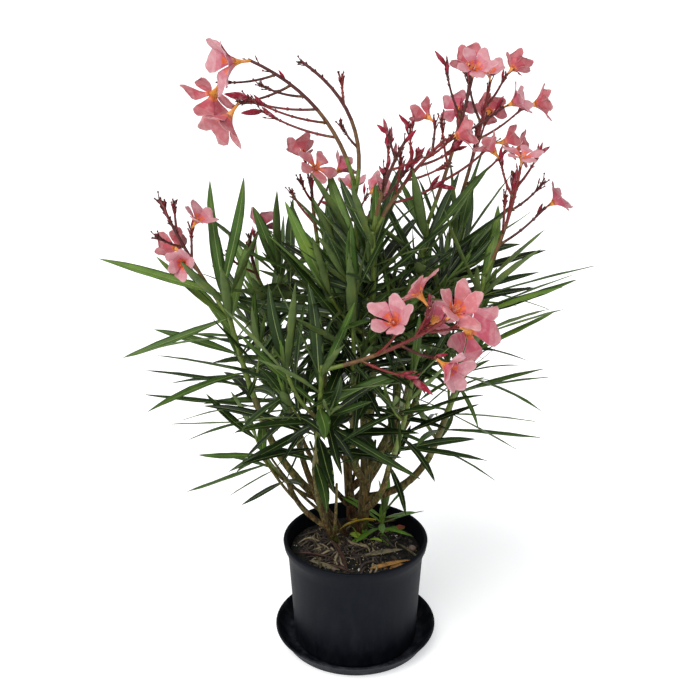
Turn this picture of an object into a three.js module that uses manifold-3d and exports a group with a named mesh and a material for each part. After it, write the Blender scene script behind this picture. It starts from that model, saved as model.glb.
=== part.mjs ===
// Oleander in a plastic nursery pot that stands in a saucer.
// Several woody stems rise from one crown in the potting mix and fork into boughs.
// Each bough ends where a leafy shoot takes over: long narrow leaves in whorls of three,
// and on most shoots a loose panicle of red stalks with pink flowers, buds and bare tips.
// Millimetres, +Z up, origin at the middle of the saucer's flat underside.
// Headings are degrees round Z: 0 is +X, 90 is +Y. Leans are degrees from upright.

import * as THREE from "three";
import { mergeVertices } from "three/addons/utils/BufferGeometryUtils.js";
import Module from "manifold-3d";

const wasm = await Module();
wasm.setup();

// ---------------------------------------------------------------- sizes

const GAP = 0.3; // clearance between solids that touch
const ROUND = 36; // sides of the pot and the saucer
const LIMB_SIDES = 7;
const TWIG_SIDES = 3;

const SAUCER = { height: 24, floor: 3, rimRadius: 119, footRadius: 104, wall: 3.2, lip: 5.5 };
const POT = {
  base: SAUCER.floor + GAP,
  rim: 167, // height of the rim above the ground
  rimRadius: 105,
  lipBand: 12, // upright part of the rolled lip
  lipFoot: 26, // where the lip has run into the wall, below the rim
  bodyRadius: 98.5,
  baseRadius: 90.5,
  wall: 3,
  lipWall: 6,
};
const SOIL = { top: 145, clear: 0.7, chamfer: 5 };

const LEAF = { length: 160, width: 19, root: 1.6, keel: 1.9, widest: 0.38 };
const WHORL = { leaves: 3, turn: 60, lowLean: 74, tipLean: 18, bloomLean: 38, bloomTop: 0.9, sideSpacing: 27 };
const FLOWER = { tube: 17, tubeRadius: 1.3, throat: 4.6, petal: 26, cup: 8, notch: 6.5 };
const BUD = { length: 24, radius: 3.4 };
const STALK = { radius: 1.5, tipRadius: 1, branch: 38, rise: 0.05, nod: 38 };
const LONG = { width: 14, sag: 0.02 };

// Stems that stand on the potting mix: foot [x, y], then the arc to the fork.
const TRUNKS = {
  trunk_main: { foot: [9, 32], heading: -75, lean: 8, length: 150, bow: 3, radii: [9.5, 6.5] },
  trunk_left: { foot: [-15, 31], heading: 200, lean: 30, length: 92, bow: 1, radii: [8, 6] },
  trunk_front: { foot: [-23, 7], heading: 235, lean: 28, length: 98, bow: 4, radii: [6.2, 4.8] },
  trunk_back: { foot: [-3, 58], heading: 110, lean: 14, length: 120, bow: 4, radii: [8, 6] },
};
const FLARE = { height: 14, extra: 3 }; // root flare at the foot of a trunk

// Boughs: the trunk and the share of its length where they leave it, then the arc to the tip.
const BOUGHS = {
  center: { on: "trunk_main", at: 1, heading: -65, lean: 12, length: 105, bow: 0, radii: [6.2, 4.9] },
  right: { on: "trunk_main", at: 0.5, heading: -14, lean: 50, length: 124, bow: 15, radii: [6, 4.8] },
  mid: { on: "trunk_main", at: 0.7, heading: -118, lean: 24, length: 95, bow: 10, radii: [5, 4.2] },
  tall: { on: "trunk_main", at: 0.78, heading: 96, lean: 7, length: 160, bow: 13, radii: [5.4, 4.4] },
  top_right: { on: "trunk_main", at: 0.8, heading: 8, lean: 18, length: 150, bow: 13, radii: [5.4, 4.4] },
  front_right: {
    on: "trunk_main", at: 0.36, heading: -62, lean: 36, length: 120, bow: 11, radii: [4.8, 4],
  },
  left: { on: "trunk_left", at: 1, heading: 191, lean: 31, length: 135, bow: 8, radii: [5.8, 4.7] },
  left_back: {
    on: "trunk_left", at: 0.6, heading: 138, lean: 28, length: 125, bow: 10, radii: [5, 4.2],
  },
  front_left: {
    on: "trunk_front", at: 1, heading: 262, lean: 26, length: 95, bow: 5, radii: [4.6, 4],
  },
  low_left: { on: "trunk_front", at: 0.55, heading: 190, lean: 36, length: 95, bow: 9, radii: [4, 3.4] },
  back_left: { on: "trunk_back", at: 1, heading: 176, lean: 13, length: 150, bow: 9, radii: [5.6, 4.4] },
  far_right: {
    on: "trunk_back", at: 0.5, heading: 6, lean: 32, length: 200, bow: 18, radii: [5.4, 4.4],
  },
  back_center: { on: "trunk_back", at: 0.72, heading: 72, lean: 20, length: 150, bow: 13, radii: [5, 4.2] },
  back_right: { on: "trunk_back", at: 0.3, heading: 44, lean: 42, length: 160, bow: 14, radii: [4.6, 3.8] },
  low_back: { on: "trunk_back", at: 0.28, heading: 145, lean: 44, length: 140, bow: 12, radii: [4.4, 3.6] },
};

// Foliage: the arc of the leading shoot from the bough's tip, how many whorls it carries and the
// turn of the lowest, side shoots as [share, heading, lean, length], and panicles. A panicle is an
// arc from the share `at` of the shoot. Its side stalks leave it round the turn `fan`, spread over
// `spread` degrees, and `ends` has one letter for each from the lowest up, the last one for the
// axis itself: F is a flower, B a bud and T a bare tip.
const MASSES = {
  center: {
    heading: -95, lean: 5, length: 235, bow: 0, whorls: 9, phase: 20, seed: 11,
    sides: [[0.35, 200, 42, 90]],
    panicles: [
      { at: 0.98, heading: 12, lean: 38, length: 150, bow: -8, fan: 0, spread: 360, stalk: 56, ends: "BTBTBBTFF" },
      { at: 1, heading: -30, lean: 20, length: 125, bow: -6, fan: 60, spread: 360, stalk: 55, ends: "BBBTBB" },
    ],
  },
  right: {
    heading: 0, lean: 14, length: 272, bow: 8, whorls: 9, phase: 105, seed: 12,
    sides: [[0.1, 150, 30, 70]],
    panicles: [
      { at: 1, heading: 12, lean: 16, length: 150, bow: 6, fan: 0, spread: 360, stalk: 66, ends: "FTBTFBF" },
    ],
  },
  mid: { heading: -85, lean: 6, length: 188, bow: 2, whorls: 8, phase: 50, seed: 13, sides: [], panicles: [] },
  tall: {
    heading: 190, lean: 3, length: 258, bow: 2, whorls: 8, phase: 0, seed: 14, leafTop: 0.66,
    sides: [[0.2, 150, 45, 80]],
    panicles: [
      {
        at: 1, heading: 181, lean: 40, length: 210, bow: -26, fan: 270, spread: 110, stalk: 100,
        ends: "BBTTFFF", bloom: 1.55, branch: 50,
      },
      { at: 0.95, heading: 178, lean: 22, length: 185, bow: -32, fan: 0, spread: 360, stalk: 35, ends: "TTT" },
    ],
  },
  top_right: {
    heading: 0, lean: 9, length: 225, bow: 3, whorls: 9, phase: 35, seed: 15,
    sides: [[0.4, 20, 35, 110]],
    panicles: [
      { at: 1, heading: 20, lean: 17, length: 196, bow: 4, fan: 0, spread: 360, stalk: 78, ends: "FTFFBFF" },
    ],
  },
  front_right: {
    heading: -55, lean: 18, length: 155, bow: 5, whorls: 6, phase: 10, seed: 16, leafScale: 0.85,
    sides: [], panicles: [],
  },
  left: {
    heading: 197, lean: 14, length: 215, bow: 4, whorls: 8, phase: 0, seed: 17, sides: [],
    panicles: [
      { at: 0.8, heading: 172, lean: 29, length: 180, bow: 4, fan: 90, spread: 360, stalk: 42, ends: "FFFTTTT" },
    ],
  },
  left_back: {
    heading: 166, lean: 12, length: 225, bow: 5, whorls: 8, phase: 40, seed: 18, sides: [[0.4, 110, 40, 80]],
    panicles: [
      { at: 1, heading: 190, lean: 12, length: 75, bow: 4, fan: 0, spread: 360, stalk: 40, ends: "TFT" },
    ],
  },
  front_left: {
    heading: -76, lean: 17, length: 172, bow: 4, whorls: 7, phase: 25, seed: 19, sides: [[0.5, 190, 30, 80]],
    panicles: [
      {
        at: 0.96, heading: -12, lean: 63, length: 175, bow: 8, fan: 0, spread: 360, stalk: 62,
        ends: "BFFFFFF", bloom: 1.15,
      },
    ],
  },
  low_left: {
    heading: 200, lean: 30, length: 85, bow: 5, whorls: 4, phase: 15, seed: 20, leafScale: 0.75,
    sides: [], panicles: [],
  },
  back_left: {
    heading: 180, lean: 2, length: 175, bow: 2, whorls: 6, phase: 30, seed: 21, leafTop: 0.68,
    sides: [[0.4, 200, 42, 90]],
    panicles: [
      { at: 1, heading: 150, lean: 6, length: 95, bow: 2, fan: 0, spread: 360, stalk: 55, ends: "TFTFF" },
    ],
  },
  far_right: {
    heading: 10, lean: 9, length: 235, bow: 3, whorls: 8, phase: 15, seed: 22, sides: [[0.4, 60, 45, 90]],
    panicles: [
      { at: 1, heading: 0, lean: 13, length: 205, bow: 4, fan: 0, spread: 360, stalk: 75, ends: "FTFFBFF" },
    ],
  },
  back_center: {
    heading: 80, lean: 12, length: 175, bow: 3, whorls: 7, phase: 45, seed: 23, sides: [[0.35, 120, 45, 90]],
    panicles: [
      { at: 1, heading: 100, lean: 42, length: 100, bow: 8, fan: 0, spread: 360, stalk: 45, ends: "TFBFF" },
    ],
  },
  back_right: {
    heading: 45, lean: 16, length: 170, bow: 4, whorls: 5, phase: 5, seed: 24, sides: [], panicles: [],
  },
  low_back: {
    heading: 145, lean: 22, length: 165, bow: 4, whorls: 5, phase: 55, seed: 25, sides: [], panicles: [],
  },
};

// Single leaves that reach out further than the whorls do, as [share, heading, lean, length, roll].
const LONG_LEAVES = {
  left: [
    [0.95, 181, 71, 170, -40], [0.8, 193, 108, 148, -20], [0.42, 188, 74, 120, 10], [0.15, 191, 76, 155, 0],
    [0.05, 199, 86, 128, 20], [0.98, 143, 13, 149, -50], [0.98, 40, 15, 154, 45],
  ],
  right: [
    [0.9, 2, 73, 155, -20], [0.8, -5, 66, 118, 10], [0.82, 8, 70, 135, -20], [0.68, -4, 70, 130, -20],
    [0.38, -8, 75, 128, -20], [0.25, -8, 88, 120, -15], [0.95, -12, 42, 112, -30],
  ],
  low_left: [[0.5, 174, 112, 130, 0]],
  front_right: [[0.3, -2, 99, 124, 10]],
  front_left: [[0.45, 200, 108, 130, -30], [0.5, -20, 115, 150, 30]],
};

// A young shoot that springs from the crown, standing on the potting mix.
const SPROUT = {
  foot: [37, 42], heading: -20, lean: 8, length: 38, bow: 0, whorls: 5, phase: 70, seed: 31,
  leafScale: 0.46, radii: [2.6, 1.6], sides: [], panicles: [],
};

const COLOURS = {
  plastic: { color: 0x1d1e22, roughness: 0.55 },
  soil: { color: 0x1c1713, roughness: 1 },
  bark: { color: 0x6b5536, roughness: 0.85 },
  leaf: { color: 0x2f5a26, roughness: 0.5 },
  sprout: { color: 0x4d9a2e, roughness: 0.5 },
};

// ---------------------------------------------------------------- small helpers

const rad = THREE.MathUtils.degToRad;
const deg = THREE.MathUtils.radToDeg;
const lerp = THREE.MathUtils.lerp;
const UP = new THREE.Vector3(0, 0, 1);
const along = (p, d, s) => p.clone().addScaledVector(d, s);

// Mulberry32: the same draws for the same seed.
function seeded(seed) {
  let state = seed >>> 0;
  return () => {
    state = (state + 0x6d2b79f5) >>> 0;
    let t = state;
    t = Math.imul(t ^ (t >>> 15), t | 1);
    t ^= t + Math.imul(t ^ (t >>> 7), t | 61);
    return ((t ^ (t >>> 14)) >>> 0) / 4294967296;
  };
}

// A limb's centre line in `steps` straight pieces: a chord from its foot, bowed by `bow` mm in the
// upright plane of its heading. A positive bow lies outside and below the chord, so the limb turns
// up along its way.
function arc(foot, { heading, lean, length, bow }, steps) {
  const h = new THREE.Vector3(Math.cos(rad(heading)), Math.sin(rad(heading)), 0);
  const side = new THREE.Vector3(-h.y, h.x, 0);
  const chord = along(h.clone().multiplyScalar(Math.sin(rad(lean))), UP, Math.cos(rad(lean)));
  const out = along(h.clone().multiplyScalar(Math.cos(rad(lean))), UP, -Math.sin(rad(lean)));
  const curve = (t) => along(along(foot, chord, length * t), out, 4 * bow * t * (1 - t));
  return {
    side,
    steps,
    point: (t) => {
      const k = Math.min(Math.floor(t * steps), steps - 1);
      return curve(k / steps).lerp(curve((k + 1) / steps), t * steps - k);
    },
    tangent: (t) => along(chord.clone().multiplyScalar(length), out, 4 * bow * (1 - 2 * t)).normalize(),
  };
}

// The direction at `angle` degrees from the line's tangent, `turn` degrees round it.
function branching(line, t, turn, angle) {
  const tangent = line.tangent(t);
  const across = tangent.clone().cross(line.side);
  const radial = line.side.clone().multiplyScalar(Math.cos(rad(turn)));
  radial.addScaledVector(across, Math.sin(rad(turn)));
  return {
    tangent,
    radial,
    dir: tangent.clone().multiplyScalar(Math.cos(rad(angle))).addScaledVector(radial, Math.sin(rad(angle))),
  };
}

// ---------------------------------------------------------------- meshes and solids

function solid(points, triangles) {
  return new wasm.Manifold(
    new wasm.Mesh({
      numProp: 3,
      vertProperties: new Float32Array(points.flatMap((p) => [p.x, p.y, p.z])),
      triVerts: new Uint32Array(triangles.flat()),
    }),
  );
}

function turned(profile) {
  const outline = profile.map(([r, z]) => new THREE.Vector2(r, z));
  const geometry = new THREE.LatheGeometry(outline, ROUND).rotateX(Math.PI / 2);
  const merged = mergeVertices(geometry.deleteAttribute("normal").deleteAttribute("uv"), 1e-3);
  return new wasm.Manifold(
    new wasm.Mesh({
      numProp: 3,
      vertProperties: merged.attributes.position.array,
      triVerts: new Uint32Array(merged.index.array),
    }),
  );
}

function meshOf(name, body, { color, roughness }) {
  const made = body.getMesh();
  const geometry = new THREE.BufferGeometry()
    .setAttribute("position", new THREE.BufferAttribute(made.vertProperties, 3))
    .setIndex(new THREE.BufferAttribute(made.triVerts, 1));
  geometry.computeVertexNormals();
  const material = new THREE.MeshStandardMaterial({ color, roughness, metalness: 0 });
  const mesh = new THREE.Mesh(geometry, material);
  mesh.name = name;
  return mesh;
}

const largest = (body) => body.decompose().reduce((a, b) => (b.volume() > a.volume() ? b : a));

// Closed surface through rings of equally many points, with flat ends. A last ring of one point
// closes in a tip.
function loft(rings) {
  const points = rings.flat();
  const n = rings[0].length;
  const triangles = [];
  const tip = rings.at(-1).length === 1;
  const bands = tip ? rings.length - 2 : rings.length - 1;
  for (let k = 0; k < bands; k++)
    for (let i = 0; i < n; i++) {
      const a = k * n + i;
      const b = k * n + ((i + 1) % n);
      triangles.push([a, b, b + n], [a, b + n, a + n]);
    }
  for (let i = 1; i < n - 1; i++) triangles.push([0, i + 1, i]);
  const last = bands * n;
  if (tip) for (let i = 0; i < n; i++) triangles.push([last + i, last + ((i + 1) % n), last + n]);
  else for (let i = 1; i < n - 1; i++) triangles.push([last, last + i, last + i + 1]);
  return solid(points, triangles);
}

// A ring round `centre` in the plane across `tangent`.
function ring(centre, tangent, side, radius, sides) {
  const across = tangent.clone().cross(side).normalize();
  const flat = across.clone().cross(tangent);
  return Array.from({ length: sides }, (_, i) => {
    const a = (2 * Math.PI * i) / sides;
    return along(along(centre, flat, radius * Math.cos(a)), across, radius * Math.sin(a));
  });
}

// A tapering tube along an arc. Its first end lies across `seat`, the direction of the limb it
// stands on. `grow` widens it, for cutting its neighbours.
function tube(line, radii, sides, seat = line.tangent(0), grow = 0) {
  const rings = [];
  for (let k = 0; k <= line.steps; k++) {
    const t = k / line.steps;
    const tangent = k === 0 ? seat : line.tangent(t);
    rings.push(ring(line.point(t), tangent, line.side, lerp(radii[0], radii[1], t) + grow, sides));
  }
  return loft(rings);
}

// ---------------------------------------------------------------- pot, saucer and potting mix

function saucer() {
  const { height, floor, rimRadius, footRadius, wall, lip } = SAUCER;
  const bend = (rimRadius - footRadius) * 0.55;
  return turned([
    [0, 0],
    [footRadius, 0],
    [footRadius + bend, 6],
    [rimRadius - 1, height - lip],
    [rimRadius, height - lip / 2],
    [rimRadius - wall / 2, height],
    [rimRadius - wall - 1, height - lip / 2],
    [footRadius + bend - wall, 8],
    [footRadius - wall, floor],
    [0, floor],
  ]);
}

function pot() {
  const { base, rim, rimRadius, lipBand, lipFoot, bodyRadius, baseRadius, wall, lipWall } = POT;
  return turned([
    [0, base],
    [baseRadius - 3, base],
    [baseRadius, base + 4],
    [bodyRadius, rim - lipFoot],
    [rimRadius - 1.5, rim - lipBand],
    [rimRadius, rim - 3],
    [rimRadius - 2.5, rim],
    [rimRadius - lipWall, rim - 2.5],
    [bodyRadius - wall, rim - lipFoot + 4],
    [baseRadius - wall, base + wall + 1],
    [0, base + wall],
  ]);
}

function pottingMix() {
  const { base, rim, lipFoot, bodyRadius, baseRadius, wall } = POT;
  const { top, clear, chamfer } = SOIL;
  const floor = base + wall + 1;
  const slope = (bodyRadius - baseRadius) / (rim - lipFoot + 4 - floor);
  const inner = (z) => baseRadius - wall - clear + slope * (z - floor);
  return turned([
    [0, floor + GAP],
    [inner(floor) - 1, floor + GAP],
    [inner(top - chamfer), top - chamfer],
    [inner(top) - chamfer, top],
    [0, top],
  ]);
}

// ---------------------------------------------------------------- trunks and boughs

const trunkLine = (spec) => arc(new THREE.Vector3(spec.foot[0], spec.foot[1], SOIL.top + GAP), spec, 12);

// The foot is cut flat at the ground, so the first ring lies level and flares out.
function trunk(spec, grow = 0) {
  const line = trunkLine(spec);
  const steps = 3;
  const foot = along(line.point(0), UP, -grow);
  const rings = [ring(foot, UP, line.side, spec.radii[0] + FLARE.extra + grow, LIMB_SIDES)];
  for (let k = 0; k <= steps; k++) {
    const t = lerp(FLARE.height / spec.length, 1, k / steps);
    const radius = lerp(spec.radii[0], spec.radii[1], t) + grow;
    rings.push(ring(line.point(t), line.tangent(t), line.side, radius, LIMB_SIDES));
  }
  return loft(rings);
}

// Where a bough starts, and the direction its first end lies across.
function boughRoot(spec) {
  const parent = trunkLine(TRUNKS[spec.on]);
  const foot = parent.point(spec.at);
  if (spec.at < 1) return { line: arc(foot, spec, 4) };
  const seat = parent.tangent(1);
  return { line: arc(along(foot, seat, GAP), spec, 4), seat };
}

function limbs() {
  const made = {};
  const taken = [];
  for (const [name, spec] of Object.entries(TRUNKS)) {
    made[name] = trunk(spec);
    taken.push(trunk(spec, GAP));
  }
  for (const [name, spec] of Object.entries(BOUGHS)) {
    const { line, seat } = boughRoot(spec);
    let body = tube(line, spec.radii, LIMB_SIDES, seat);
    for (const other of taken) body = body.subtract(other);
    made["bough_" + name] = largest(body);
    taken.push(tube(line, spec.radii, LIMB_SIDES, seat, GAP));
  }
  return made;
}

// ---------------------------------------------------------------- leaves, flowers and buds

// A blade with a keel: an upright edge at its root, a widest section and a tip. `normal` is its
// upper side, and `from` leaves off the part that is sunk in the twig.
function leaf({ root, dir, normal, length, width, sag }, from = 0) {
  const side = dir.clone().cross(normal);
  const at = (s) => along(along(root, dir, length * s), UP, -sag * length * s * s);
  const middle = at(LEAF.widest);
  const points = [
    along(at(from), normal, LEAF.root / 2),
    along(at(from), normal, -LEAF.root / 2),
    along(middle, side, -width / 2),
    along(middle, side, width / 2),
    along(middle, normal, -LEAF.keel),
    at(1),
  ];
  const triangles = [[0, 3, 2], [0, 2, 1], [1, 2, 4], [0, 1, 3], [1, 4, 3], [2, 3, 5], [4, 2, 5], [3, 4, 5]];
  return solid(points, triangles);
}

// One closed surface: a tube that widens into a throat and five petals, each a little lopsided.
function flower({ base, axis, turn, size }) {
  const u = UP.clone().cross(axis);
  if (u.length() < 0.1) u.set(1, 0, 0);
  u.normalize();
  const v = axis.clone().cross(u);
  const at = (r, a, z) =>
    along(along(along(base, axis, z * size), u, r * size * Math.cos(a)), v, r * size * Math.sin(a));
  const five = (r, z, offset) =>
    Array.from({ length: 5 }, (_, i) => at(r, rad(turn + 72 * i + offset), z));
  const { tube: deep, tubeRadius, throat, petal, cup, notch } = FLOWER;
  const points = [
    at(0, 0, deep + 2),
    ...five(tubeRadius, 0, 0),
    ...five(throat, deep - 1, 0),
    ...five(notch, deep + 3, -36),
    ...five(petal * 0.78, deep + cup * 0.8, -24),
    ...five(petal, deep + cup * 0.7, 6),
    ...five(petal * 0.86, deep + cup, 25),
  ];
  const [FOOT, THROAT, NOTCH, LOW, TIP, HIGH] = [1, 6, 11, 16, 21, 26];
  const triangles = [];
  for (let i = 0; i < 5; i++) {
    const j = (i + 1) % 5;
    const rim = [NOTCH + i, LOW + i, TIP + i, HIGH + i, NOTCH + j];
    for (let k = 0; k < 4; k++) {
      triangles.push([0, rim[k], rim[k + 1]]);
      triangles.push([THROAT + i, rim[k + 1], rim[k]]);
    }
    triangles.push([THROAT + i, THROAT + j, NOTCH + j]);
    triangles.push([FOOT + i, FOOT + j, THROAT + j], [FOOT + i, THROAT + j, THROAT + i]);
  }
  for (let i = 1; i < 4; i++) triangles.push([FOOT, FOOT + i + 1, FOOT + i]);
  return solid(points, triangles);
}

function bud({ base, axis, size }) {
  const u = new THREE.Vector3(0.3, 1, 0.2).cross(axis).normalize();
  const v = axis.clone().cross(u);
  const belly = along(base, axis, BUD.length * size * 0.55);
  const points = [base.clone()];
  for (let i = 0; i < 3; i++) {
    const a = rad(120 * i);
    const r = BUD.radius * size;
    points.push(along(along(belly, u, r * Math.cos(a)), v, r * Math.sin(a)));
  }
  points.push(along(base, axis, BUD.length * size));
  const triangles = [];
  for (let i = 0; i < 3; i++) {
    const a = 1 + i;
    const b = 1 + ((i + 1) % 3);
    triangles.push([0, b, a], [4, a, b]);
  }
  return solid(points, triangles);
}

// ---------------------------------------------------------------- the growth rule

// Leaves of one shoot, in whorls from its lower part to its tip. Low leaves are long and spread,
// the ones at the tip are short and stand up round it.
function whorlsOf({ line, whorls, phase, from, to, radii, tipLean }, scale, random) {
  const grown = [];
  for (let k = 0; k < whorls; k++) {
    const rank = whorls > 1 ? k / (whorls - 1) : 1;
    const t = lerp(from, to, rank);
    for (let i = 0; i < WHORL.leaves; i++) {
      const draw = [random(), random(), random(), random(), random(), random()];
      const turn = phase + WHORL.turn * k + (360 / WHORL.leaves) * i + 22 * (draw[0] - 0.5);
      const lean = lerp(WHORL.lowLean, tipLean, rank ** 2) + 26 * (draw[1] - 0.5);
      const { tangent, radial, dir } = branching(line, t, turn, lean);
      const normal = tangent.multiplyScalar(Math.sin(rad(lean)));
      normal.addScaledVector(radial, -Math.cos(rad(lean))).applyAxisAngle(dir, rad(50 * (draw[2] - 0.5)));
      const size = scale * (0.82 + 0.3 * draw[3]) * (1 - 0.25 * rank ** 3) * (1 - 0.35 * (1 - rank) ** 4);
      grown.push({
        root: along(line.point(t), radial, 0.35 * lerp(radii[0], radii[1], t)),
        twig: line.tangent(t),
        dir,
        normal,
        length: LEAF.length * size,
        width: LEAF.width * scale * (0.82 + 0.3 * draw[4]),
        sag: lerp(0.18, -0.03, rank) + 0.2 * (draw[5] - 0.5),
      });
    }
  }
  return grown;
}

// Long leaves lie open to the sky and are then turned by `roll` round their length.
function longLeavesOf({ name, line, radii }) {
  const specs = LONG_LEAVES[name.replace("foliage_", "")] ?? [];
  return specs.map(([at, heading, lean, length, roll]) => {
    const level = new THREE.Vector3(Math.cos(rad(heading)), Math.sin(rad(heading)), 0);
    const dir = along(level.clone().multiplyScalar(Math.sin(rad(lean))), UP, Math.cos(rad(lean)));
    const normal = along(UP.clone().multiplyScalar(Math.sin(rad(lean))), level, -Math.cos(rad(lean)));
    return {
      root: along(line.point(at), dir, 0.35 * radii[1]),
      twig: line.tangent(at),
      dir,
      normal: normal.applyAxisAngle(dir, rad(roll)),
      length,
      width: LONG.width,
      sag: LONG.sag,
    };
  });
}

// Stalks of one panicle, from the lowest up and last the axis: each an arc with its end. A stalk
// leaves the axis at an angle and rises a little, and the flower on it nods outwards.
function stalksOf(axis, spec, random) {
  const count = spec.ends.length;
  return Array.from(spec.ends, (kind, k) => {
    const draw = [random(), random(), random(), random(), random(), random()];
    const rank = count > 1 ? k / (count - 1) : 1;
    const isAxis = k === count - 1;
    const t = lerp(0.3, 0.93, rank);
    const turn = spec.fan + spec.spread * (((k * 0.618 + 0.25) % 1) - 0.5) + 30 * (draw[0] - 0.5);
    const angle = (spec.branch ?? STALK.branch) + 16 * (draw[1] - 0.5);
    const length = spec.stalk * lerp(1.1, 0.7, rank) * (0.8 + 0.4 * draw[2]);
    const end = { kind, turn: 360 * draw[3], size: (spec.bloom ?? 1) * (0.92 + 0.2 * draw[4]) };
    const nod = STALK.nod * (0.5 + draw[5]);
    return {
      radii: isAxis ? [STALK.radius * 1.5, STALK.radius] : [STALK.radius, STALK.tipRadius],
      grow: (shift) => {
        const { dir, radial } = branching(axis, isAxis ? 1 : t, turn + shift, angle);
        const heading = deg(Math.atan2(dir.y, dir.x));
        const line = isAxis
          ? axis
          : arc(axis.point(t), { heading, lean: deg(Math.acos(dir.z)), length, bow: length * STALK.rise }, length > 70 ? 2 : 1);
        const tip = line.tangent(1);
        const hinge = tip.clone().cross(radial).normalize();
        return { line, end: { ...end, base: line.point(0.985), axis: tip.applyAxisAngle(hinge, rad(nod)) } };
      },
    };
  });
}

// ---------------------------------------------------------------- growing without touching

const CLEAR = 0.25; // between a leaf or stalk and anything that isn't its own
const SUNK = 0.09; // share of a leaf that may lie in its own shoot's other parts
const TRIES = [[0, 0], [12, 6], [-12, -6], [22, -10], [-22, 10], [34, 16], [-34, -16]];
const SHIFTS = [0, 35, -35, 70, -70, 120, -120];

const apart = (a, b) =>
  [0, 1, 2].some((i) => a.min[i] > b.max[i] + CLEAR || b.min[i] > a.max[i] + CLEAR);

// Everything that is placed already, each with its box and its owner's name.
const placed = [];
const entry = (body, owner) => ({ body, box: body.boundingBox(), owner });

function clear(body, list, owner) {
  const box = body.boundingBox();
  return list.every((o) => o.owner === owner || apart(box, o.box) || o.body.minGap(body, 2 * CLEAR) > CLEAR);
}

// The leaf turned round its shoot and raised, for where its first place is taken.
function shifted(grown, turn, raise) {
  const dir = grown.dir.clone().applyAxisAngle(grown.twig, rad(turn));
  const normal = grown.normal.clone().applyAxisAngle(grown.twig, rad(turn));
  const hinge = dir.clone().cross(normal);
  return { ...grown, dir: dir.applyAxisAngle(hinge, rad(raise)), normal: normal.applyAxisAngle(hinge, rad(raise)) };
}

// Adds bodies to a mass if they are clear of every other mass and of the limbs.
function keep(mass, bodies) {
  if (!bodies.every((body) => clear(body, placed, mass.name))) return false;
  for (const body of bodies) {
    placed.push(entry(body, mass.name));
    mass.own.push(entry(body));
    mass.pieces.push(body);
  }
  return true;
}

// The leading shoot of a mass, its side shoots and the axes of its panicles.
function growTwigs(mass) {
  const { spec, line, seat, radii, shoots } = mass;
  keep(mass, [tube(line, radii, TWIG_SIDES, seat)]);
  const top = spec.panicles.length
    ? { to: spec.leafTop ?? WHORL.bloomTop, tipLean: WHORL.bloomLean }
    : { to: 0.985, tipLean: WHORL.tipLean };
  shoots.push({ line, whorls: spec.whorls, phase: spec.phase, from: 0.05, radii, ...top });
  for (const [at, heading, lean, length] of spec.sides) {
    const side = arc(line.point(at), { heading, lean, length, bow: length * 0.08 }, 2);
    const thin = [radii[1], radii[1] * 0.8];
    if (!keep(mass, [tube(side, thin, TWIG_SIDES)])) continue;
    const whorls = Math.round(length / WHORL.sideSpacing);
    shoots.push({ line: side, whorls, phase: 40, from: 0.35, to: 0.985, radii: thin, tipLean: WHORL.tipLean });
  }
  for (const panicle of spec.panicles) {
    const stalks = stalksOf(arc(line.point(panicle.at), panicle, 5), panicle, mass.random);
    if (growStalk(mass, stalks.pop())) mass.stalks.push(...stalks);
  }
}

function growStalk(mass, { grow, radii }) {
  return SHIFTS.some((shift) => {
    const { line, end } = grow(shift);
    const heads = { F: [flower], B: [bud], T: [] }[end.kind];
    return keep(mass, [tube(line, radii, TWIG_SIDES), ...heads.map((make) => make(end))]);
  });
}

// Adds a leaf to a mass at its own place or near it, or leaves it out where nothing is free. Past
// its sunk root a leaf keeps clear of its own mass as well.
function growLeaf(mass, grown) {
  for (const [turn, raise] of TRIES) {
    const tried = shifted(grown, turn, raise);
    const blade = leaf(tried);
    const free = leaf(tried, SUNK);
    if (!clear(blade, placed, mass.name) || !clear(free, mass.own, mass.name)) continue;
    placed.push(entry(blade, mass.name));
    mass.own.push(entry(free));
    mass.pieces.push(blade);
    return;
  }
}

function growWhorls(mass) {
  for (const shoot of mass.shoots)
    for (const grown of whorlsOf(shoot, mass.spec.leafScale ?? 1, mass.random)) growLeaf(mass, grown);
}

function massOf(name, spec, line, seat, radii) {
  return { name, spec, line, seat, radii, random: seeded(spec.seed), shoots: [], stalks: [], own: [], pieces: [] };
}

// ---------------------------------------------------------------- assembly

const plant = new THREE.Group();
plant.name = "potted_oleander";
const bodies = { saucer: saucer(), pot: pot(), potting_mix: pottingMix() };
plant.add(meshOf("saucer", bodies.saucer, COLOURS.plastic));
plant.add(meshOf("pot", bodies.pot, COLOURS.plastic));
plant.add(meshOf("potting_mix", bodies.potting_mix, COLOURS.soil));
placed.push(entry(bodies.pot, "pot"), entry(bodies.potting_mix, "pot"));

for (const [name, body] of Object.entries(limbs())) {
  placed.push(entry(body, "wood"));
  plant.add(meshOf(name, body, COLOURS.bark));
}

const masses = [];
for (const [name, spec] of Object.entries(MASSES)) {
  const bough = boughRoot(BOUGHS[name]).line;
  const seat = bough.tangent(1);
  const line = arc(along(bough.point(1), seat, GAP), spec, Math.max(2, Math.round(spec.length / 55)));
  const radii = [BOUGHS[name].radii[1] * 0.95, 2.7];
  masses.push(massOf("foliage_" + name, spec, line, seat, radii));
}
const crown = new THREE.Vector3(SPROUT.foot[0], SPROUT.foot[1], SOIL.top + GAP);
masses.push(massOf("basal_sprout", SPROUT, arc(crown, SPROUT, 2), UP, SPROUT.radii));
masses.forEach(growTwigs);
masses.forEach((mass) => mass.stalks.forEach((stalk) => growStalk(mass, stalk)));
masses.forEach((mass) => longLeavesOf(mass).forEach((grown) => growLeaf(mass, grown)));
masses.forEach(growWhorls);
for (const { name, pieces } of masses) {
  const colour = name === "basal_sprout" ? COLOURS.sprout : COLOURS.leaf;
  plant.add(meshOf(name, largest(wasm.Manifold.union(pieces)), colour));
}

export default plant;
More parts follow.
